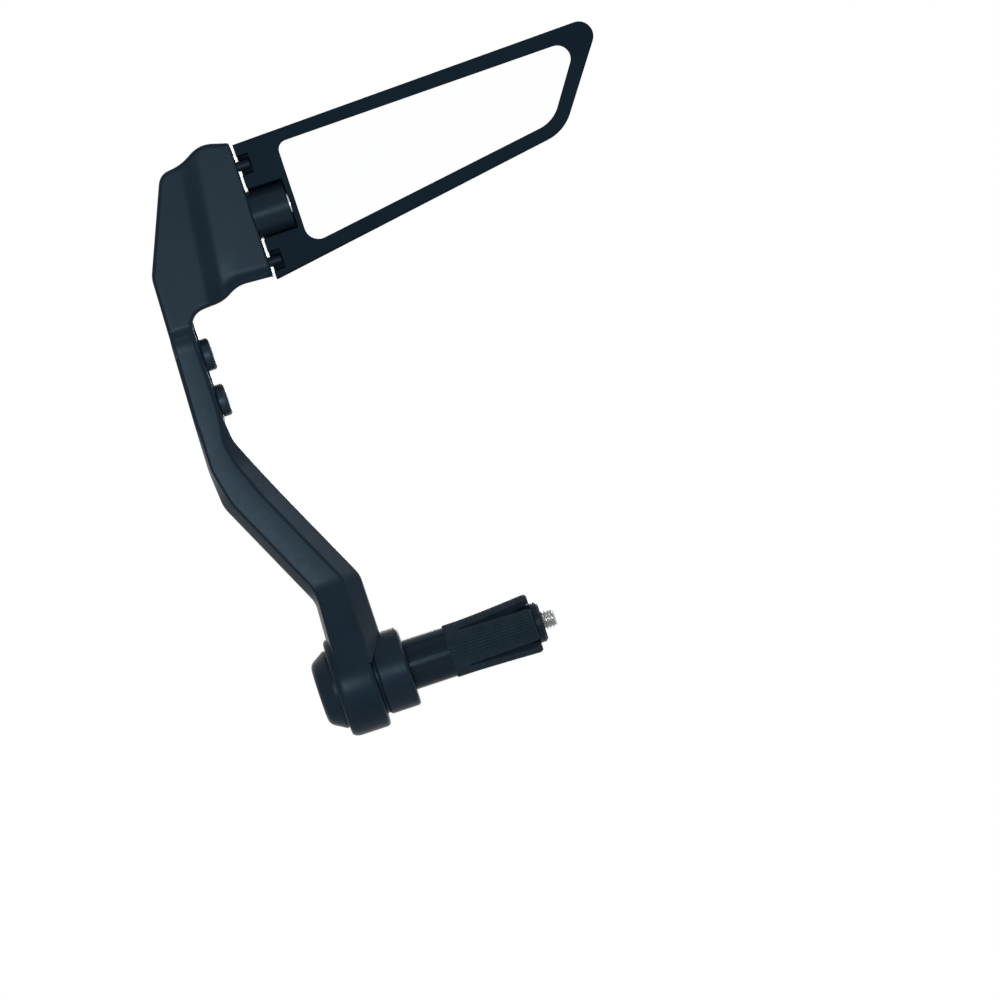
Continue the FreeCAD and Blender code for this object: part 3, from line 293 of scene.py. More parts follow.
def node_material(name, colour, roughness, metallic=0.0, specular=0.3):
    """A principled material with its constant values set on the shader's own sockets."""
    material = bpy.data.materials.new(name)
    material.use_nodes = True
    shader = material.node_tree.nodes["Principled BSDF"]
    shader.inputs["Base Color"].default_value = (*colour, 1)
    shader.inputs["Roughness"].default_value = roughness
    shader.inputs["Metallic"].default_value = metallic
    shader.inputs["Specular IOR Level"].default_value = specular
    shader.inputs["Specular Tint"].default_value = WHITE if metallic else COOL
    return material, material.node_tree, shader


def noise(tree, scale, detail, stretch=(1, 1, 1)):
    """Noise on Object coordinates; stretch squeezes it along an axis."""
    place = tree.nodes.new("ShaderNodeTexCoord")
    mapping = tree.nodes.new("ShaderNodeMapping")
    mapping.inputs["Scale"].default_value = stretch
    texture = tree.nodes.new("ShaderNodeTexNoise")
    texture.inputs["Scale"].default_value = scale
    texture.inputs["Detail"].default_value = detail
    tree.links.new(place.outputs["Object"], mapping.inputs["Vector"])
    tree.links.new(mapping.outputs["Vector"], texture.inputs["Vector"])
    return texture


def vary_colour(tree, shader, texture, colour, share):
    """Let the noise carry the colour a share darker and lighter."""
    ramp = tree.nodes.new("ShaderNodeValToRGB")
    ramp.color_ramp.elements[0].position = 0.3
    ramp.color_ramp.elements[1].position = 0.7
    ramp.color_ramp.elements[0].color = (*[part * (1 - share) for part in colour], 1)
    ramp.color_ramp.elements[1].color = (*[part * (1 + share) for part in colour], 1)
    tree.links.new(texture.outputs["Fac"], ramp.inputs["Fac"])
    tree.links.new(ramp.outputs["Color"], shader.inputs["Base Color"])


def vary_roughness(tree, shader, texture, low, high):
    """Let the noise carry the roughness between two values."""
    span = tree.nodes.new("ShaderNodeMapRange")
    span.inputs["From Min"].default_value = 0.3
    span.inputs["From Max"].default_value = 0.7
    span.inputs["To Min"].default_value = low
    span.inputs["To Max"].default_value = high
    tree.links.new(texture.outputs["Fac"], span.inputs["Value"])
    tree.links.new(span.outputs["Result"], shader.inputs["Roughness"])


def add_bump(tree, shader, texture, height, strength):
    """Bump of a height in metres from a texture."""
    bump = tree.nodes.new("ShaderNodeBump")
    bump.inputs["Strength"].default_value = strength
    bump.inputs["Distance"].default_value = height
    tree.links.new(texture.outputs["Fac"], bump.inputs["Height"])
    tree.links.new(bump.outputs["Normal"], shader.inputs["Normal"])


def powder_coat(name, colour, rough=(0.31, 0.35), specular=0.07):
    """Fine matte coat: pebbled grain, faint cloudiness and uneven sheen."""
    grain, height = 2600.0, 0.02 * MM
    material, tree, shader = node_material(name, colour, rough[0], specular=specular)
    clouds = noise(tree, scale=55.0, detail=3.0)
    vary_colour(tree, shader, clouds, colour, share=0.09)
    vary_roughness(tree, shader, noise(tree, scale=420.0, detail=2.0), *rough)
    add_bump(tree, shader, noise(tree, scale=grain, detail=2.0), height, strength=0.5)
    return material


def drawn_black(name, colour, rough=(0.16, 0.22)):
    """Semi-gloss black with lengthwise drawing marks along the bar."""
    material, tree, shader = node_material(name, colour, rough[0], specular=0.08)
    marks = noise(tree, scale=900.0, detail=3.0, stretch=(0.02, 1, 1))
    vary_colour(tree, shader, marks, colour, share=0.2)
    vary_roughness(tree, shader, marks, *rough)
    add_bump(tree, shader, marks, height=0.012 * MM, strength=0.6)
    return material


def dull_rubber(name, colour):
    """Moulded rubber: dull, slightly cloudy, finely pitted."""
    material, tree, shader = node_material(name, colour, roughness=0.7, specular=0.1)
    vary_colour(tree, shader, noise(tree, scale=240.0, detail=4.0), colour, share=0.22)
    vary_roughness(tree, shader, noise(tree, scale=600.0, detail=2.0), low=0.55, high=0.75)
    pits = noise(tree, scale=3800.0, detail=3.0)
    add_bump(tree, shader, pits, height=0.02 * MM, strength=0.5)
    return material


def black_oxide(name, colour, specular=0.2):
    """Black steel: dark, a little oily, with faint turning marks."""
    material, tree, shader = node_material(name, colour, roughness=0.36, specular=specular)
    vary_colour(tree, shader, noise(tree, scale=300.0, detail=3.0), colour, share=0.2)
    marks = noise(tree, scale=2200.0, detail=2.0, stretch=(1, 0.1, 0.1))
    vary_roughness(tree, shader, marks, low=0.3, high=0.46)
    add_bump(tree, shader, marks, height=0.008 * MM, strength=0.5)
    return material


def bright_zinc(name, colour, rough=(0.14, 0.3)):
    """Zinc plate: bright metal with a faint bluish cloud and fine scratches."""
    material, tree, shader = node_material(name, colour, roughness=0.2, metallic=1.0)
    vary_colour(tree, shader, noise(tree, scale=500.0, detail=4.0), colour, share=0.1)
    scratches = noise(tree, scale=3000.0, detail=2.0, stretch=(1, 0.2, 0.2))
    vary_roughness(tree, shader, scratches, *rough)
    add_bump(tree, shader, scratches, height=0.006 * MM, strength=0.5)
    return material


def plain_moulding(name, colour, roughness):
    """Moulded nylon, seal rubber or foam: faint cloud and grain."""
    material, tree, shader = node_material(name, colour, roughness, specular=0.12)
    vary_colour(tree, shader, noise(tree, scale=400.0, detail=3.0), colour, share=0.15)
    grain = noise(tree, scale=3000.0, detail=2.0)
    add_bump(tree, shader, grain, height=0.01 * MM, strength=0.5)
    return material


def silvered_glass(name, colour):
    """Mirror: silver behind clear glass, with the faintest unevenness."""
    material, tree, shader = node_material(name, colour, roughness=0.015, metallic=1.0)
    vary_roughness(tree, shader, noise(tree, scale=30.0, detail=2.0), low=0.01, high=0.02)
    return material


def dress(node, material):
    """Give a carried-over node its finish."""
    mesh = frame["nodes"][node].data
    mesh.materials.clear()
    mesh.materials.append(material)


def settle(piece, body, material, slot, *nodes):
    """Finish a new piece, ride it on its body and let it stand for its nodes."""
    piece.data.materials.append(material)
    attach(piece, body)
    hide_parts(*nodes)


# Operators

class MIRROR_OT_castings(bpy.types.Operator):
    """Coat the arm castings, the wing housing, the collar, the end cap and the spacer tube"""
    bl_idname = "mirror.castings"
    bl_label = "Castings"

    def execute(self, context):
        finish = context.scene.mirror_finish
        arm = powder_coat("arm coat", finish.coat)
        # No sheen on the wing: it would show as a pale glancing line along the lower side.
        wing = powder_coat("wing coat", finish.wing, specular=0.0)
        collar = powder_coat("collar black", finish.collar, rough=(0.3, 0.38), specular=0.08)
        spacer = drawn_black("spacer black", finish.spacer)
        for node, material in [("mirror_housing", wing), ("bar_collar", collar),
                               ("end_cap", collar), ("spacer_tube", spacer)]:
            dress(node, material)
        for name, node, surface in [
                ("dog_leg_arm", "lower_arm", arm_surface(context.scene.mirror_arm)),
                ("paddle", "upper_arm", paddle_surface(context.scene.mirror_paddle))]:
            piece = new_piece(name, *surface, sharp=40.0)
            settle(piece, "mirror_arm", arm, "arm_black", node)
        return {"FINISHED"}


def arm_surface(sizes):
    """Arm and hub ring as two closed shells.

    The arm is a stack of eight-sided sections. Each value of a section is the mean of the straight
    lines between the listed sections over a window about its height, so the bends are soft, and its
    corners are rounded off. On the inner side the foot ends on the saddle, a cylinder over the
    collar. The ring is a closed profile turned about the bar."""
    rows, samples, corner_steps = 190, 15, 7
    _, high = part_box("lower_arm")
    table = ARM_SECTIONS * MM
    foot = table[1, 0]
    height = np.linspace(foot, high.z, rows)
    window = height[:, None] + np.linspace(-1, 1, samples) * sizes.soft
    value = [np.interp(window, table[:, 0], column).mean(axis=1) for column in table.T[1:]]
    outer, inner, front, back, out_facet, in_facet, band = value
    x = np.stack([out_facet - outer, -inner - in_facet, -inner, -inner, -inner - in_facet,
                  out_facet - outer, -outer, -outer], axis=1)
    y = np.stack([-front, -front, -band, band, back, back, band, -band], axis=1)
    section = rounded_outline(np.stack([x, y], axis=-1), sizes.edge, corner_steps)
    across = section[:, :, 1]
    saddle = np.sqrt(np.clip(sizes.saddle ** 2 - across ** 2, 0, None))
    floor = np.where(section[:, :, 0] > hub_start(), saddle, foot)
    z = np.maximum(height[:, None], floor)
    arm = np.concatenate([section, z[:, :, None]], axis=-1)
    return joined(capped(arm), hub_ring(sizes))


def hub_start():
    """Where the hub ring faces the collar, a running clearance before the friction ring."""
    clearance = 0.1 * MM
    low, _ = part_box("hub_friction_ring")
    return low.x - clearance


def hub_ring(sizes, columns=144):
    """Profile of the ring turned about X: bore, round edges and well.

    The rounding at the cap is longer along the bar than the one at the collar."""
    longer = 2.2
    low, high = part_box("lower_arm")
    face = hub_start()
    end = face - sizes.ring
    radius = min(-low.z, high.y)  # stays inside the box of the solid, whose ring has flat facets
    turn = np.linspace(0, np.pi / 2, 8)
    over, under = sizes.hub_edge * (1 - np.cos(turn)), sizes.hub_edge * (1 - np.sin(turn))
    x = np.concatenate([[face - sizes.web, face], face - over, end + longer * under,
                        [end, face - sizes.web, face - sizes.web]])
    r = np.concatenate([[sizes.bore, sizes.bore], radius - under, radius - over,
                        [sizes.well, sizes.well, sizes.bore]])
    return turned_points(x, r[:, None], columns)


def paddle_surface(sizes):
    """Paddle and its tongue as two closed shells.

    The outline is walked evenly. Rings go round the front edge, down the drafted side and round
    the back edge, and the front and back between them are filled. The front stands out by the
    plate's height plus the spine's, carried over by a smooth step of the distance from the flank
    line, less a soft hollow at the flank's foot."""
    count, corner_steps, spacing = 420, 15, 0.8 * MM
    wing_side, wing_run = -3.4 * MM, 1.2 * MM
    sunk_height, sunk_run = 118 * MM, 6 * MM
    corners = PADDLE_CORNERS[:, :2][None] * MM
    cut = PADDLE_CORNERS[:, 2][None, :, None] * MM
    outline = even_walk(rounded_outline(corners, cut, corner_steps)[0], count)
    inward = inward_normals(outline)
    x, z = outline.T
    gap = smooth_step((x - wing_side) / wing_run)
    sunk = smooth_step((z - sunk_height) / sunk_run)
    rim = rim_radius(sizes.rim, gap, sunk, foot_share=0.25)
    back_rim = rim_radius(sizes.back_rim, gap, sunk, foot_share=0.2)
    draft = sizes.draft * (1 - gap) * sunk
    edge = outline + inward * draft[:, None]
    front_ring = outline + inward * rim[:, None]
    back_ring = edge + inward * back_rim[:, None]
    turn = np.linspace(np.pi / 2, 0, 9)[:, None]
    place = np.concatenate([outline + inward * (rim * (1 - np.cos(turn)))[:, :, None],
                            edge + inward * (back_rim * (1 - np.cos(turn[::-1])))[:, :, None]])
    depth = np.concatenate([
        rim * (1 - np.sin(turn)) - front_height(sizes, front_ring),
        back_height(sizes, back_ring) - back_rim * (1 - np.sin(turn[::-1]))])
    side = np.stack([place[:, :, 0], depth, place[:, :, 1]], axis=-1)
    points, faces = joined(side, tongue_surface())
    faces = faces.tolist()
    for ring, height, sign in [(front_ring, front_height, -1), (back_ring, back_height, 1)]:
        inside, triangles = filled(ring, spacing)
        faces += (triangles + len(points)).tolist()
        fill = np.stack([inside[:, 0], sign * height(sizes, inside), inside[:, 1]], axis=-1)
        points = np.concatenate([points, fill])
    return points, faces


def even_walk(outline, count):
    """Points at even steps along a closed outline."""
    loop = np.concatenate([outline, outline[:1]])
    walk = np.concatenate([[0], np.cumsum(np.linalg.norm(np.diff(loop, axis=0), axis=1))])
    even = np.linspace(0, walk[-1], count, endpoint=False)
    return np.stack([np.interp(even, walk, loop[:, axis]) for axis in (0, 1)], axis=-1)


def inward_normals(outline):
    """Unit vectors into a closed outline, each square to the chord between the second points
    before and after."""
    along = np.roll(outline, -2, axis=0) - np.roll(outline, 2, axis=0)
    inward = np.stack([-along[:, 1], along[:, 0]], axis=-1)
    return inward / np.linalg.norm(inward, axis=1, keepdims=True)


def rim_radius(full, gap, sunk, foot_share):
    """Rounding of a rim: tighter beside the wing, and only a share of it at the foot in the bar."""
    tightening = 0.6
    return full * (1 - tightening * gap) * (foot_share + (1 - foot_share) * sunk)


def filled(ring, spacing):
    """Delaunay triangles over a closed ring of points and an even grid of points inside it.

    A grid point is inside if a level line from it to the right crosses the ring an odd number
    of times, and it is kept if it is further than half the spacing from the ring."""
    level = 1e-12  # metres of rise under which a side of the ring counts as level
    low, high = ring.min(axis=0), ring.max(axis=0)
    steps = [np.arange(low[axis], high[axis], spacing) for axis in (0, 1)]
    grid = np.stack(np.meshgrid(*steps), axis=-1).reshape(-1, 1, 2)
    after = np.roll(ring, -1, axis=0)
    rise = after[:, 1] - ring[:, 1]
    slope = (after[:, 0] - ring[:, 0]) / np.where(np.abs(rise) < level, level, rise)
    spans = (ring[:, 1] > grid[:, :, 1]) != (after[:, 1] > grid[:, :, 1])
    right = grid[:, :, 0] < ring[:, 0] + slope * (grid[:, :, 1] - ring[:, 1])
    clear = np.linalg.norm(grid - ring, axis=-1).min(axis=1) > spacing / 2
    keep = ((spans & right).sum(axis=1) % 2 == 1) & clear
    flat = np.concatenate([ring, grid[keep, 0]]) / MM
    count = len(ring)
    edges = np.stack([np.arange(count), (np.arange(count) + 1) % count], axis=1)
    inside_only, merge = 1, 1e-6
    found = delaunay_2d_cdt([Vector(point) for point in flat.tolist()], edges.tolist(), [],
                            inside_only, merge)
    return np.array(found[0]) * MM, np.array(found[2])


def smooth_step(share):
    """Nought below 0, one above 1, and 3s^2 - 2s^3 between."""
    share = np.clip(share, 0, 1)
    return share * share * (3 - 2 * share)


def flank_line(z):
    """Share of the way from shoulder to crest at a height, and x of the flank line there."""
    rise = (z - SHOULDER * MM) / (CREST_RISE * MM)
    return rise, (FLANK_FOOT + FLANK_LEAN * rise) * MM


def front_height(sizes, place):
    """How far the front of the paddle stands before the middle plane at (x, z) places.

    The flank widens upwards. The hollow at its foot is a bell of the distance from its middle.
    The plate's lower edge falls away as nearly a quarter round of the distance from that edge."""
    narrow, widening = 0.7, 0.5
    hollow_offset, hollow_height = 3 * MM, 126 * MM
    hollow_width, hollow_length = 3.5 * MM, 9 * MM
    roundness, round_start, round_run = 0.96, -18 * MM, 6 * MM
    x, z = place[..., 0], place[..., 1]
    rise, flank = flank_line(z)
    width = sizes.flank * (narrow + widening * rise)
    spine = sizes.spine + (sizes.crown - sizes.spine) * np.clip(rise, 0, 1)
    lift = (spine - sizes.plate) * smooth_step((flank + width / 2 - x) / width)
    away = (((x - flank - hollow_offset) / hollow_width) ** 2
            + ((z - hollow_height) / hollow_length) ** 2)
    above = z - (PLATE_FOOT_Z * MM - PLATE_FOOT_FALL * (x - PLATE_FOOT_X * MM))
    short = np.clip(sizes.lower_rim - above, 0, sizes.lower_rim)
    fall = sizes.lower_rim - np.sqrt(sizes.lower_rim ** 2 - roundness * short ** 2)
    fall = fall * smooth_step((x - round_start) / round_run)
    top = sizes.plate + lift - sizes.hollow * np.exp(-away) - fall
    return under_bar(top, z, sizes.spine)


def back_height(sizes, place):
    """How far the back stands behind the middle plane: spine, soft flank and plate."""
    x, z = place[..., 0], place[..., 1]
    _, flank = flank_line(z)
    lift = smooth_step((flank + sizes.flank / 2 - x) / sizes.flank)
    top = sizes.back - sizes.back_fall * (1 - lift)
    return under_bar(top, z, sizes.back)


def under_bar(height, z, full):
    """Hold the paddle's foot just under the faces of the bar, which ramp up to the full height."""
    ramp = np.clip((z - RAMP_START * MM) / (SHOULDER * MM - RAMP_START * MM), 0, 1)
    limit = SUNK_DEPTH * MM + (full - SUNK_DEPTH * MM) * ramp
    return np.where(z < SHOULDER * MM, np.minimum(height, limit), height)


def tongue_surface():
    """Strip let into the bar: a rounded box from its lower end up into the paddle."""
    rows, corner_steps, edge = 40, 5, 0.4 * MM
    seat, half, top = -33.85 * MM, 4.0 * MM, 124.4 * MM
    end_face, swell, swell_run = -30.9 * MM, 0.6 * MM, 7 * MM
    low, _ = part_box("upper_arm")
    height = np.linspace(low.z, top, rows)
    face = end_face + swell * smooth_step((height - low.z) / swell_run)
    x = np.stack([0 * face + seat, face, face, 0 * face + seat], axis=1)
    y = np.broadcast_to((-half, -half, half, half), x.shape)
    section = rounded_outline(np.stack([x, y], axis=-1), edge, corner_steps)
    z = np.broadcast_to(height[:, None, None], (*section.shape[:2], 1))
    return capped(np.concatenate([section, z], axis=-1))


class MIRROR_OT_sleeve(bpy.types.Operator):
    """Ribbed sleeve whose four fingers part along tapering slots"""
    bl_idname = "mirror.sleeve"
    bl_label = "Expander sleeve"

    def execute(self, context):
        rubber = dull_rubber("sleeve rubber", context.scene.mirror_finish.rubber)
        surface = sleeve_surface(context.scene.mirror_sleeve)
        piece = new_piece("ribbed_sleeve", *surface, sharp=40.0)
        settle(piece, "bar_end_insert", rubber, "sleeve_rubber", "expander_sleeve")
        return {"FINISHED"}


def sleeve_surface(sizes):
    """Four fingers, each a shell over (across, along).

    The outer radius is the sleeve's less a narrow groove at every rib and a quarter round
    at the tip; the inner one is the bore with its taper. Across, a finger spans a quarter
    turn less the slot, whose width is nought in the root, so that neighbours share their edge
    there, and past it grows to the tip. Past the root each finger leans outwards along its own
    middle by the spread times a power of the way along, which is one for a straight finger.
    The top finger leans further."""
    lead, lead_depth, tip_share = 0.5 * MM, 0.2 * MM, 0.7
    taper_fall, rib_points, lean_power = 2.4 * MM, 12, 1.3
    low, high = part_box("expander_sleeve")
    start, end, radius = low.x, high.x, high.z
    slit = start + sizes.root
    along = np.concatenate([
        np.linspace(start, start + lead, 5)[:-1], np.linspace(start + lead, slit, 6)[:-1],
        np.linspace(slit, end - sizes.tip_round, 28)[:-1],
        end - sizes.tip_round * (1 - np.sin(np.linspace(0, np.pi / 2, 9)))])
    way = np.clip((along - slit) / (end - slit), 0, 1)
    slot = sizes.slot_root + (sizes.slot_tip - sizes.slot_root) * way
    width = np.where(along > slit + SLACK, slot, 0)
    half = (width / 2 / radius)[None, :, None]
    across = np.linspace(0, 1, rib_points * sizes.ribs // 4 + 1)[None, None, :]
    middle = (np.arange(4) * np.pi / 2)[:, None, None]
    angle = middle - np.pi / 4 + half + across * (np.pi / 2 - 2 * half)
    wave = np.cos(sizes.ribs * (across - 0.5) * np.pi / 2 + np.pi)
    groove = sizes.groove * (0.5 + 0.5 * wave) ** 3
    near_tip = np.clip((along - end + sizes.tip_round) / sizes.tip_round, 0, 1)
    near_root = np.clip((start + lead - along) / lead, 0, 1)
    shrink = (sizes.tip_round * (1 - np.sqrt(1 - near_tip ** 2)) * tip_share
              + lead_depth * near_root ** 2)
    outer = radius - shrink[None, :, None] - groove * (1 - near_root[None, :, None])
    taper = np.clip((along - end + sizes.wedge) / sizes.wedge, 0, 1)
    bore = np.where(taper > 0, sizes.tip_bore - taper_fall * (1 - taper), sizes.bore)
    inner = np.broadcast_to(bore[None, :, None], outer.shape)
    radii = np.stack([outer, inner], axis=1)
    top_finger = np.arange(4) == 1
    reach = (sizes.spread + sizes.lift * top_finger)[:, None, None, None]
    lean = reach * (way ** lean_power)[None, None, :, None]
    angle = angle[:, None]
    middle = middle[:, None]
    y = radii * np.cos(angle) + lean * np.cos(middle)
    z = radii * np.sin(angle) + lean * np.sin(middle)
    x = np.broadcast_to(along[None, None, :, None], y.shape)
    points = np.stack([x, y, z], axis=-1)
    split = int(np.argmax(along >= slit - SLACK))
    return points, finger_faces(*points.shape[2:4], split)


def finger_faces(rows, columns, split):
    """Quads of the four fingers: outer and inner skin, both sides from the split on, both ends."""
    index = np.arange(2 * rows * columns).reshape(2, rows, columns)
    skin = grid_faces(rows, columns, False)
    sides = [index[:, split:, 0], index[:, split:, -1]]
    ends = [index[:, 0, :], index[:, -1, :]]
    strips = [np.stack([edge[0, :-1], edge[0, 1:], edge[1, 1:], edge[1, :-1]], axis=-1)
              for edge in sides + ends]
    one = np.concatenate([skin, skin[:, ::-1] + rows * columns, *strips])
    shift = (np.arange(4) * 2 * rows * columns)[:, None, None]
    return (one[None] + shift).reshape(-1, 4)


class MIRROR_OT_bar_screw(bpy.types.Operator):
    """Long socket screw with a real thread at its tip"""
    bl_idname = "mirror.bar_screw"
    bl_label = "Bar-end screw"

    def execute(self, context):
        zinc = bright_zinc("zinc plate", context.scene.mirror_finish.screw, rough=(0.22, 0.36))
        surface = bar_screw_surface(context.scene.mirror_screws)
        piece = new_piece("threaded_screw", *surface, sharp=50.0)
        settle(piece, "bar_end_insert", zinc, "zinc_steel", "bar_end_screw")
        return {"FINISHED"}


def bar_screw_surface(sizes, columns=72):
    """Socket, head, shank and thread as one turned skin.

    The rows start at the middle of the socket's floor, climb its hexagon, go round the head
    and along the shank. On the thread the radius is the shank's less the depth times a rounded
    triangle wave of x over the pitch less the share of a turn. The wave fades in at the shank,
    and the tip is bevelled."""
    head_length, edge, nose_depth = 5.9 * MM, 0.6 * MM, 0.15 * MM
    socket_width, socket_depth = 5.0 * MM, 3.0 * MM
    rows_per_turn, steepness, crest, fade_turns, run_in = 14, 1.25, 0.12, 2, 0.5 * MM
    low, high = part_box("bar_end_screw")
    head, start, end = high.z, low.x, high.x
    seat = start + head_length
    floor = start + socket_depth
    six = hexagon_radius(socket_width, columns)
    flat = np.ones(columns)
    thread = np.arange(end - sizes.threaded, end + SLACK, sizes.pitch / rows_per_turn)
    share = np.arange(columns) / columns
    wave = np.abs(((thread[:, None] / sizes.pitch - share[None, :]) % 1) * 2 - 1)
    wave = np.clip(wave * steepness - crest, 0, 1)
    fade = np.clip((thread - thread[0]) / (fade_turns * sizes.pitch), 0, 1)[:, None]
    nose = np.clip((thread - end + edge) / edge, 0, 1)[:, None]
    screw = sizes.shank - sizes.thread * wave * fade
    screw = np.minimum(screw, sizes.shank - (sizes.thread + nose_depth) * nose)
    x = [floor, floor, start, start, start + edge, seat, seat, thread[0] - run_in, *thread, end]
    radius = np.vstack([
        0 * flat, six, six, (head - edge) * flat, head * flat, head * flat, sizes.shank * flat,
        sizes.shank * flat, screw, 0 * flat])
    points = turned_points(x, radius, columns)
    return points, grid_faces(len(x), columns, True)


class MIRROR_OT_arm_screws(bpy.types.Operator):
    """Two screws with round-edged socket heads through the tongue"""
    bl_idname = "mirror.arm_screws"
    bl_label = "Arm screws"

    def execute(self, context):
        oxide = black_oxide("screw oxide", context.scene.mirror_finish.oxide)
        surface = arm_screw_surface(context.scene.mirror_screws)
        piece = new_piece("socket_screws", *surface, sharp=45.0)
        settle(piece, "mirror_arm", oxide, "black_steel", "arm_screws")
        return {"FINISHED"}


def arm_screw_surface(sizes, columns=72):
    """Shank, head with a quarter-round edge and hexagon socket as one turned skin, set twice."""
    socket_width, socket_depth = 4.0 * MM, 1.8 * MM
    low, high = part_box("arm_screws")
    head = high.y
    floor = high.x - socket_depth
    seat = high.x - sizes.head_height
    turn = np.linspace(0, np.pi / 2, 9)
    six = hexagon_radius(socket_width, columns)
    flat = np.ones(columns)
    edge_x = high.x - sizes.head_round * (1 - np.sin(turn))
    edge_r = head - sizes.head_round * (1 - np.cos(turn))
    x = [low.x, low.x, seat, seat, *edge_x, high.x, floor, floor]
    radius = np.vstack([0 * flat, sizes.shank * flat, sizes.shank * flat, head * flat,
                        edge_r[:, None] * flat, six, six, 0 * flat])
    one = turned_points(x, radius, columns)
    heights = np.array([low.z + head, high.z - head])
    points = one[None] + np.stack([0 * heights, 0 * heights, heights], axis=-1)[:, None, None, :]
    faces = grid_faces(len(x), columns, True)
    return points, np.concatenate([faces, faces + len(x) * columns])


class MIRROR_OT_pivot(bpy.types.Operator):
    """Finish the barrel, stop pins, washers and the inner pieces"""
    bl_idname = "mirror.pivot"
    bl_label = "Pivot and inner pieces"

    def execute(self, context):
        finish = context.scene.mirror_finish
        # Painted shade: the stop pins and the wedge nut get the black oxide 0.7 times darker, so
        # that they look as dark as the notches and the sleeve end around them.
        darker = [part * 0.7 for part in finish.oxide]
        oxide = black_oxide("pivot oxide painted shade", darker, specular=0.1)
        zinc = bright_zinc("washer zinc", finish.zinc)
        nylon = plain_moulding("nylon", NYLON, roughness=0.5)
        seal = plain_moulding("seal rubber", SEAL, roughness=0.65)
        foam = plain_moulding("tape foam", FOAM, roughness=0.9)
        barrel = powder_coat("barrel black", finish.collar, rough=(0.28, 0.36), specular=0.08)
        for material, nodes in [
                (barrel, ["pivot_barrel", "hub_friction_ring"]),
                (oxide, ["stop_pins", "wedge_nut"]),
                (zinc, ["pivot_screw", "pivot_friction_washer", "pivot_washer",
                        "pivot_wave_washer", "hub_wave_washer", "head_washer"]),
                (nylon, ["pivot_bush"]), (seal, ["cap_ring"]), (foam, ["glass_tape"])]:
            for node in nodes:
                dress(node, material)
        return {"FINISHED"}


class MIRROR_OT_glass(bpy.types.Operator):
    """Silver the mirror glass"""
    bl_idname = "mirror.glass"
    bl_label = "Mirror glass"

    def execute(self, context):
        dress("mirror_glass", silvered_glass("silvered glass", context.scene.mirror_finish.silver))
        return {"FINISHED"}


class MIRROR_OT_stage(bpy.types.Operator):
    """Set the camera, the soft lights, the pale floor and the white surround"""
    bl_idname = "mirror.stage"
    bl_label = "Stage"

    def execute(self, context):
        stage = context.scene.mirror_stage
        context.scene.view_settings.view_transform = "Standard"
        place_camera(context, stage)
        make_floor(stage)
        make_lights(stage)
        light_surround(context, stage)
        return {"FINISHED"}


def place_camera(context, stage):
    """Camera square to the glass side, rolled so that the bar axis rises to the right."""
    data = bpy.data.cameras.new("camera")
    data.sensor_width = 36.0
    data.lens = data.sensor_width * stage.distance / stage.frame
    data.clip_start, data.clip_end = 0.01, 20.0
    camera = bpy.data.objects.new("camera", data)
    context.scene.collection.objects.link(camera)
    right, up = math.cos(stage.roll), math.sin(stage.roll)
    camera.matrix_world = Matrix(((right, up, 0, stage.centre_x), (0, 0, -1, -stage.distance),
                                  (-up, right, 0, stage.centre_z), (0, 0, 0, 1)))
    context.scene.camera = camera


def make_floor(stage):
    """Square pale floor below the object."""
    half = 0.6
    side = np.linspace(-half, half, 2)
    x, y = np.meshgrid(side, side)
    points = np.stack([x, y, np.full_like(x, -stage.floor_drop)], axis=-1)
    floor = new_piece("floor", points, grid_faces(2, 2, False))
    material, tree, shader = node_material("pale floor", PALE, roughness=0.8, specular=0.2)
    vary_colour(tree, shader, noise(tree, scale=3.0, detail=1.0), PALE, share=0.01)
    floor.data.materials.append(material)


def area_light(name, place, target, size, power):
    """Square area light aimed at a point."""
    data = bpy.data.lights.new(name, "AREA")
    data.size = size
    data.energy = power
    light = bpy.data.objects.new(name, data)
    bpy.context.scene.collection.objects.link(light)
    aim = np.array(target) - np.array(place)
    aim = aim / np.linalg.norm(aim)
    side = np.cross(aim, (0, 0, 1))
    side = side / np.linalg.norm(side)
    over = np.cross(side, aim)
    rows = [[side[i], over[i], -aim[i], place[i]] for i in range(3)]
    light.matrix_world = Matrix([*rows, [0, 0, 0, 1]])


def make_lights(stage):
    """Key in front on the left, fill from above on the right, and a soft one behind."""
    middle = (0.03, 0.0, 0.08)
    for name, place, size, power in [("key", (-0.20, -1.1, 0.02), 0.3, stage.key),
                                     ("fill", (0.75, 0.0, 0.62), 0.4, stage.fill),
                                     ("back", (0.25, 1.1, 0.35), 0.5, stage.back)]:
        area_light(name, place, middle, size, power)


def background(tree, colour, strength):
    """An even background light."""
    light = tree.nodes.new("ShaderNodeBackground")
    light.inputs["Color"].default_value = colour
    light.inputs["Strength"].default_value = strength
    return light


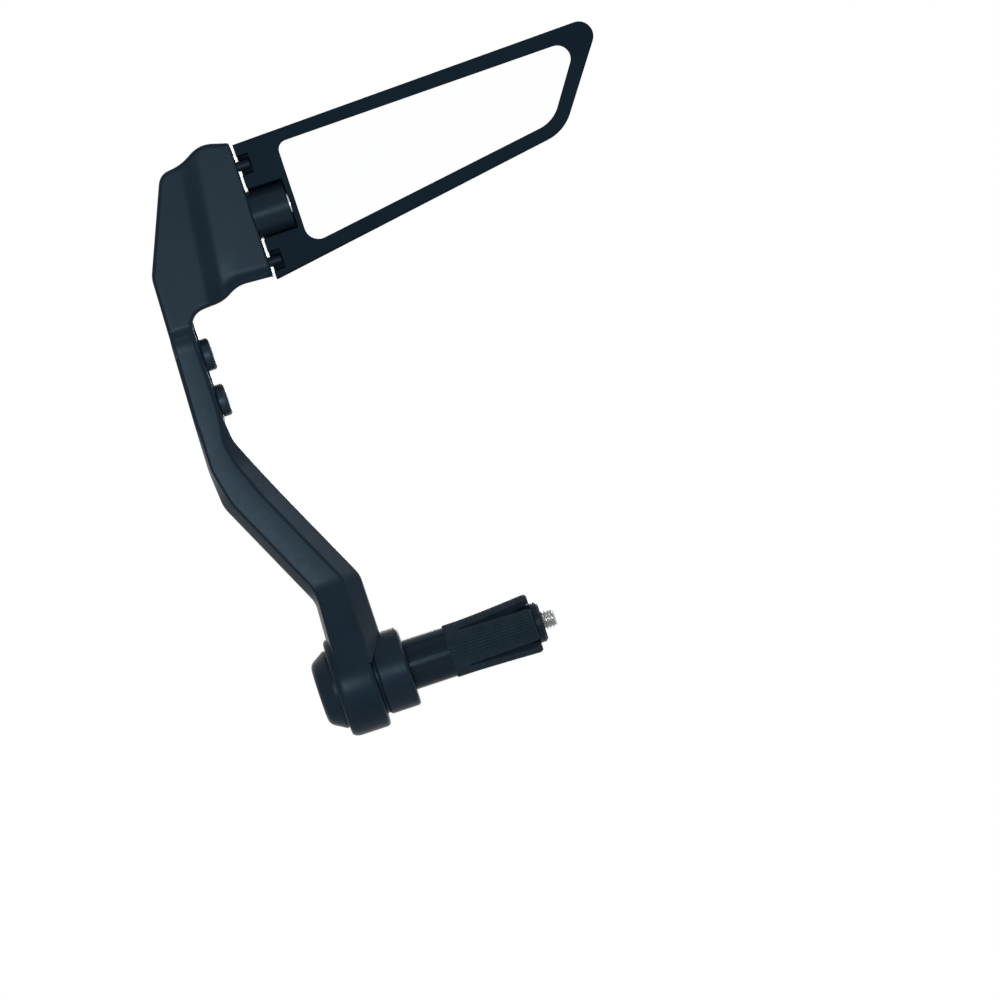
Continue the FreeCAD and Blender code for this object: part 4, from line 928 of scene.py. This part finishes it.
def light_surround(context, stage):
    """White to the camera and in reflections, an even soft light for all else."""
    world = bpy.data.worlds.new("surround")
    context.scene.world = world
    world.use_nodes = True
    tree = world.node_tree
    tree.nodes.clear()
    path = tree.nodes.new("ShaderNodeLightPath")
    seen, also = [tree.nodes.new("ShaderNodeMath") for _ in range(2)]
    seen.operation = also.operation = "MAXIMUM"
    soft = background(tree, (0.94, 0.97, 1.0, 1.0), stage.sky)
    white = background(tree, WHITE, 1.0)
    mix = tree.nodes.new("ShaderNodeMixShader")
    out = tree.nodes.new("ShaderNodeOutputWorld")
    link = tree.links.new
    link(path.outputs["Is Camera Ray"], seen.inputs[0])
    link(path.outputs["Is Glossy Ray"], seen.inputs[1])
    link(seen.outputs[0], also.inputs[0])
    link(path.outputs["Is Transmission Ray"], also.inputs[1])
    link(also.outputs[0], mix.inputs["Fac"])
    link(soft.outputs[0], mix.inputs[1])
    link(white.outputs[0], mix.inputs[2])
    link(mix.outputs[0], out.inputs["Surface"])


class MIRROR_PT_panel(bpy.types.Panel):
    """Buttons for each group of pieces and fields for their settings"""
    bl_idname = "MIRROR_PT_panel"
    bl_label = "Bar-end wing mirror"
    bl_space_type = "VIEW_3D"
    bl_region_type = "UI"
    bl_category = "Mirror"

    def draw(self, context):
        column = self.layout.column()
        for operator in OPERATORS:
            column.operator(operator.bl_idname)
        for name in GROUPS:
            box = self.layout.box()
            group = getattr(context.scene, name)
            for item in group.bl_rna.properties:
                if not item.is_readonly and item.identifier != "name":
                    box.prop(group, item.identifier)


GROUPS = {"mirror_arm": ArmSettings, "mirror_paddle": PaddleSettings,
          "mirror_sleeve": SleeveSettings, "mirror_screws": ScrewSettings,
          "mirror_finish": FinishSettings, "mirror_stage": StageSettings}
OPERATORS = [MIRROR_OT_castings, MIRROR_OT_sleeve, MIRROR_OT_bar_screw, MIRROR_OT_arm_screws,
             MIRROR_OT_pivot, MIRROR_OT_glass, MIRROR_OT_stage]


def register():
    """Register the classes and hang the settings on the scene."""
    for item in [*GROUPS.values(), *OPERATORS, MIRROR_PT_panel]:
        bpy.utils.register_class(item)
    for name, group in GROUPS.items():
        setattr(bpy.types.Scene, name, PointerProperty(type=group))


def unregister():
    """Take the settings and the classes away again."""
    for name in GROUPS:
        delattr(bpy.types.Scene, name)
    for item in reversed([*GROUPS.values(), *OPERATORS, MIRROR_PT_panel]):
        bpy.utils.unregister_class(item)


def main():
    """Build every group in order."""
    register()
    bpy.ops.mirror.castings()
    bpy.ops.mirror.sleeve()
    bpy.ops.mirror.bar_screw()
    bpy.ops.mirror.arm_screws()
    bpy.ops.mirror.pivot()
    bpy.ops.mirror.glass()
    bpy.ops.mirror.stage()


if __name__ == "__main__":
    main()
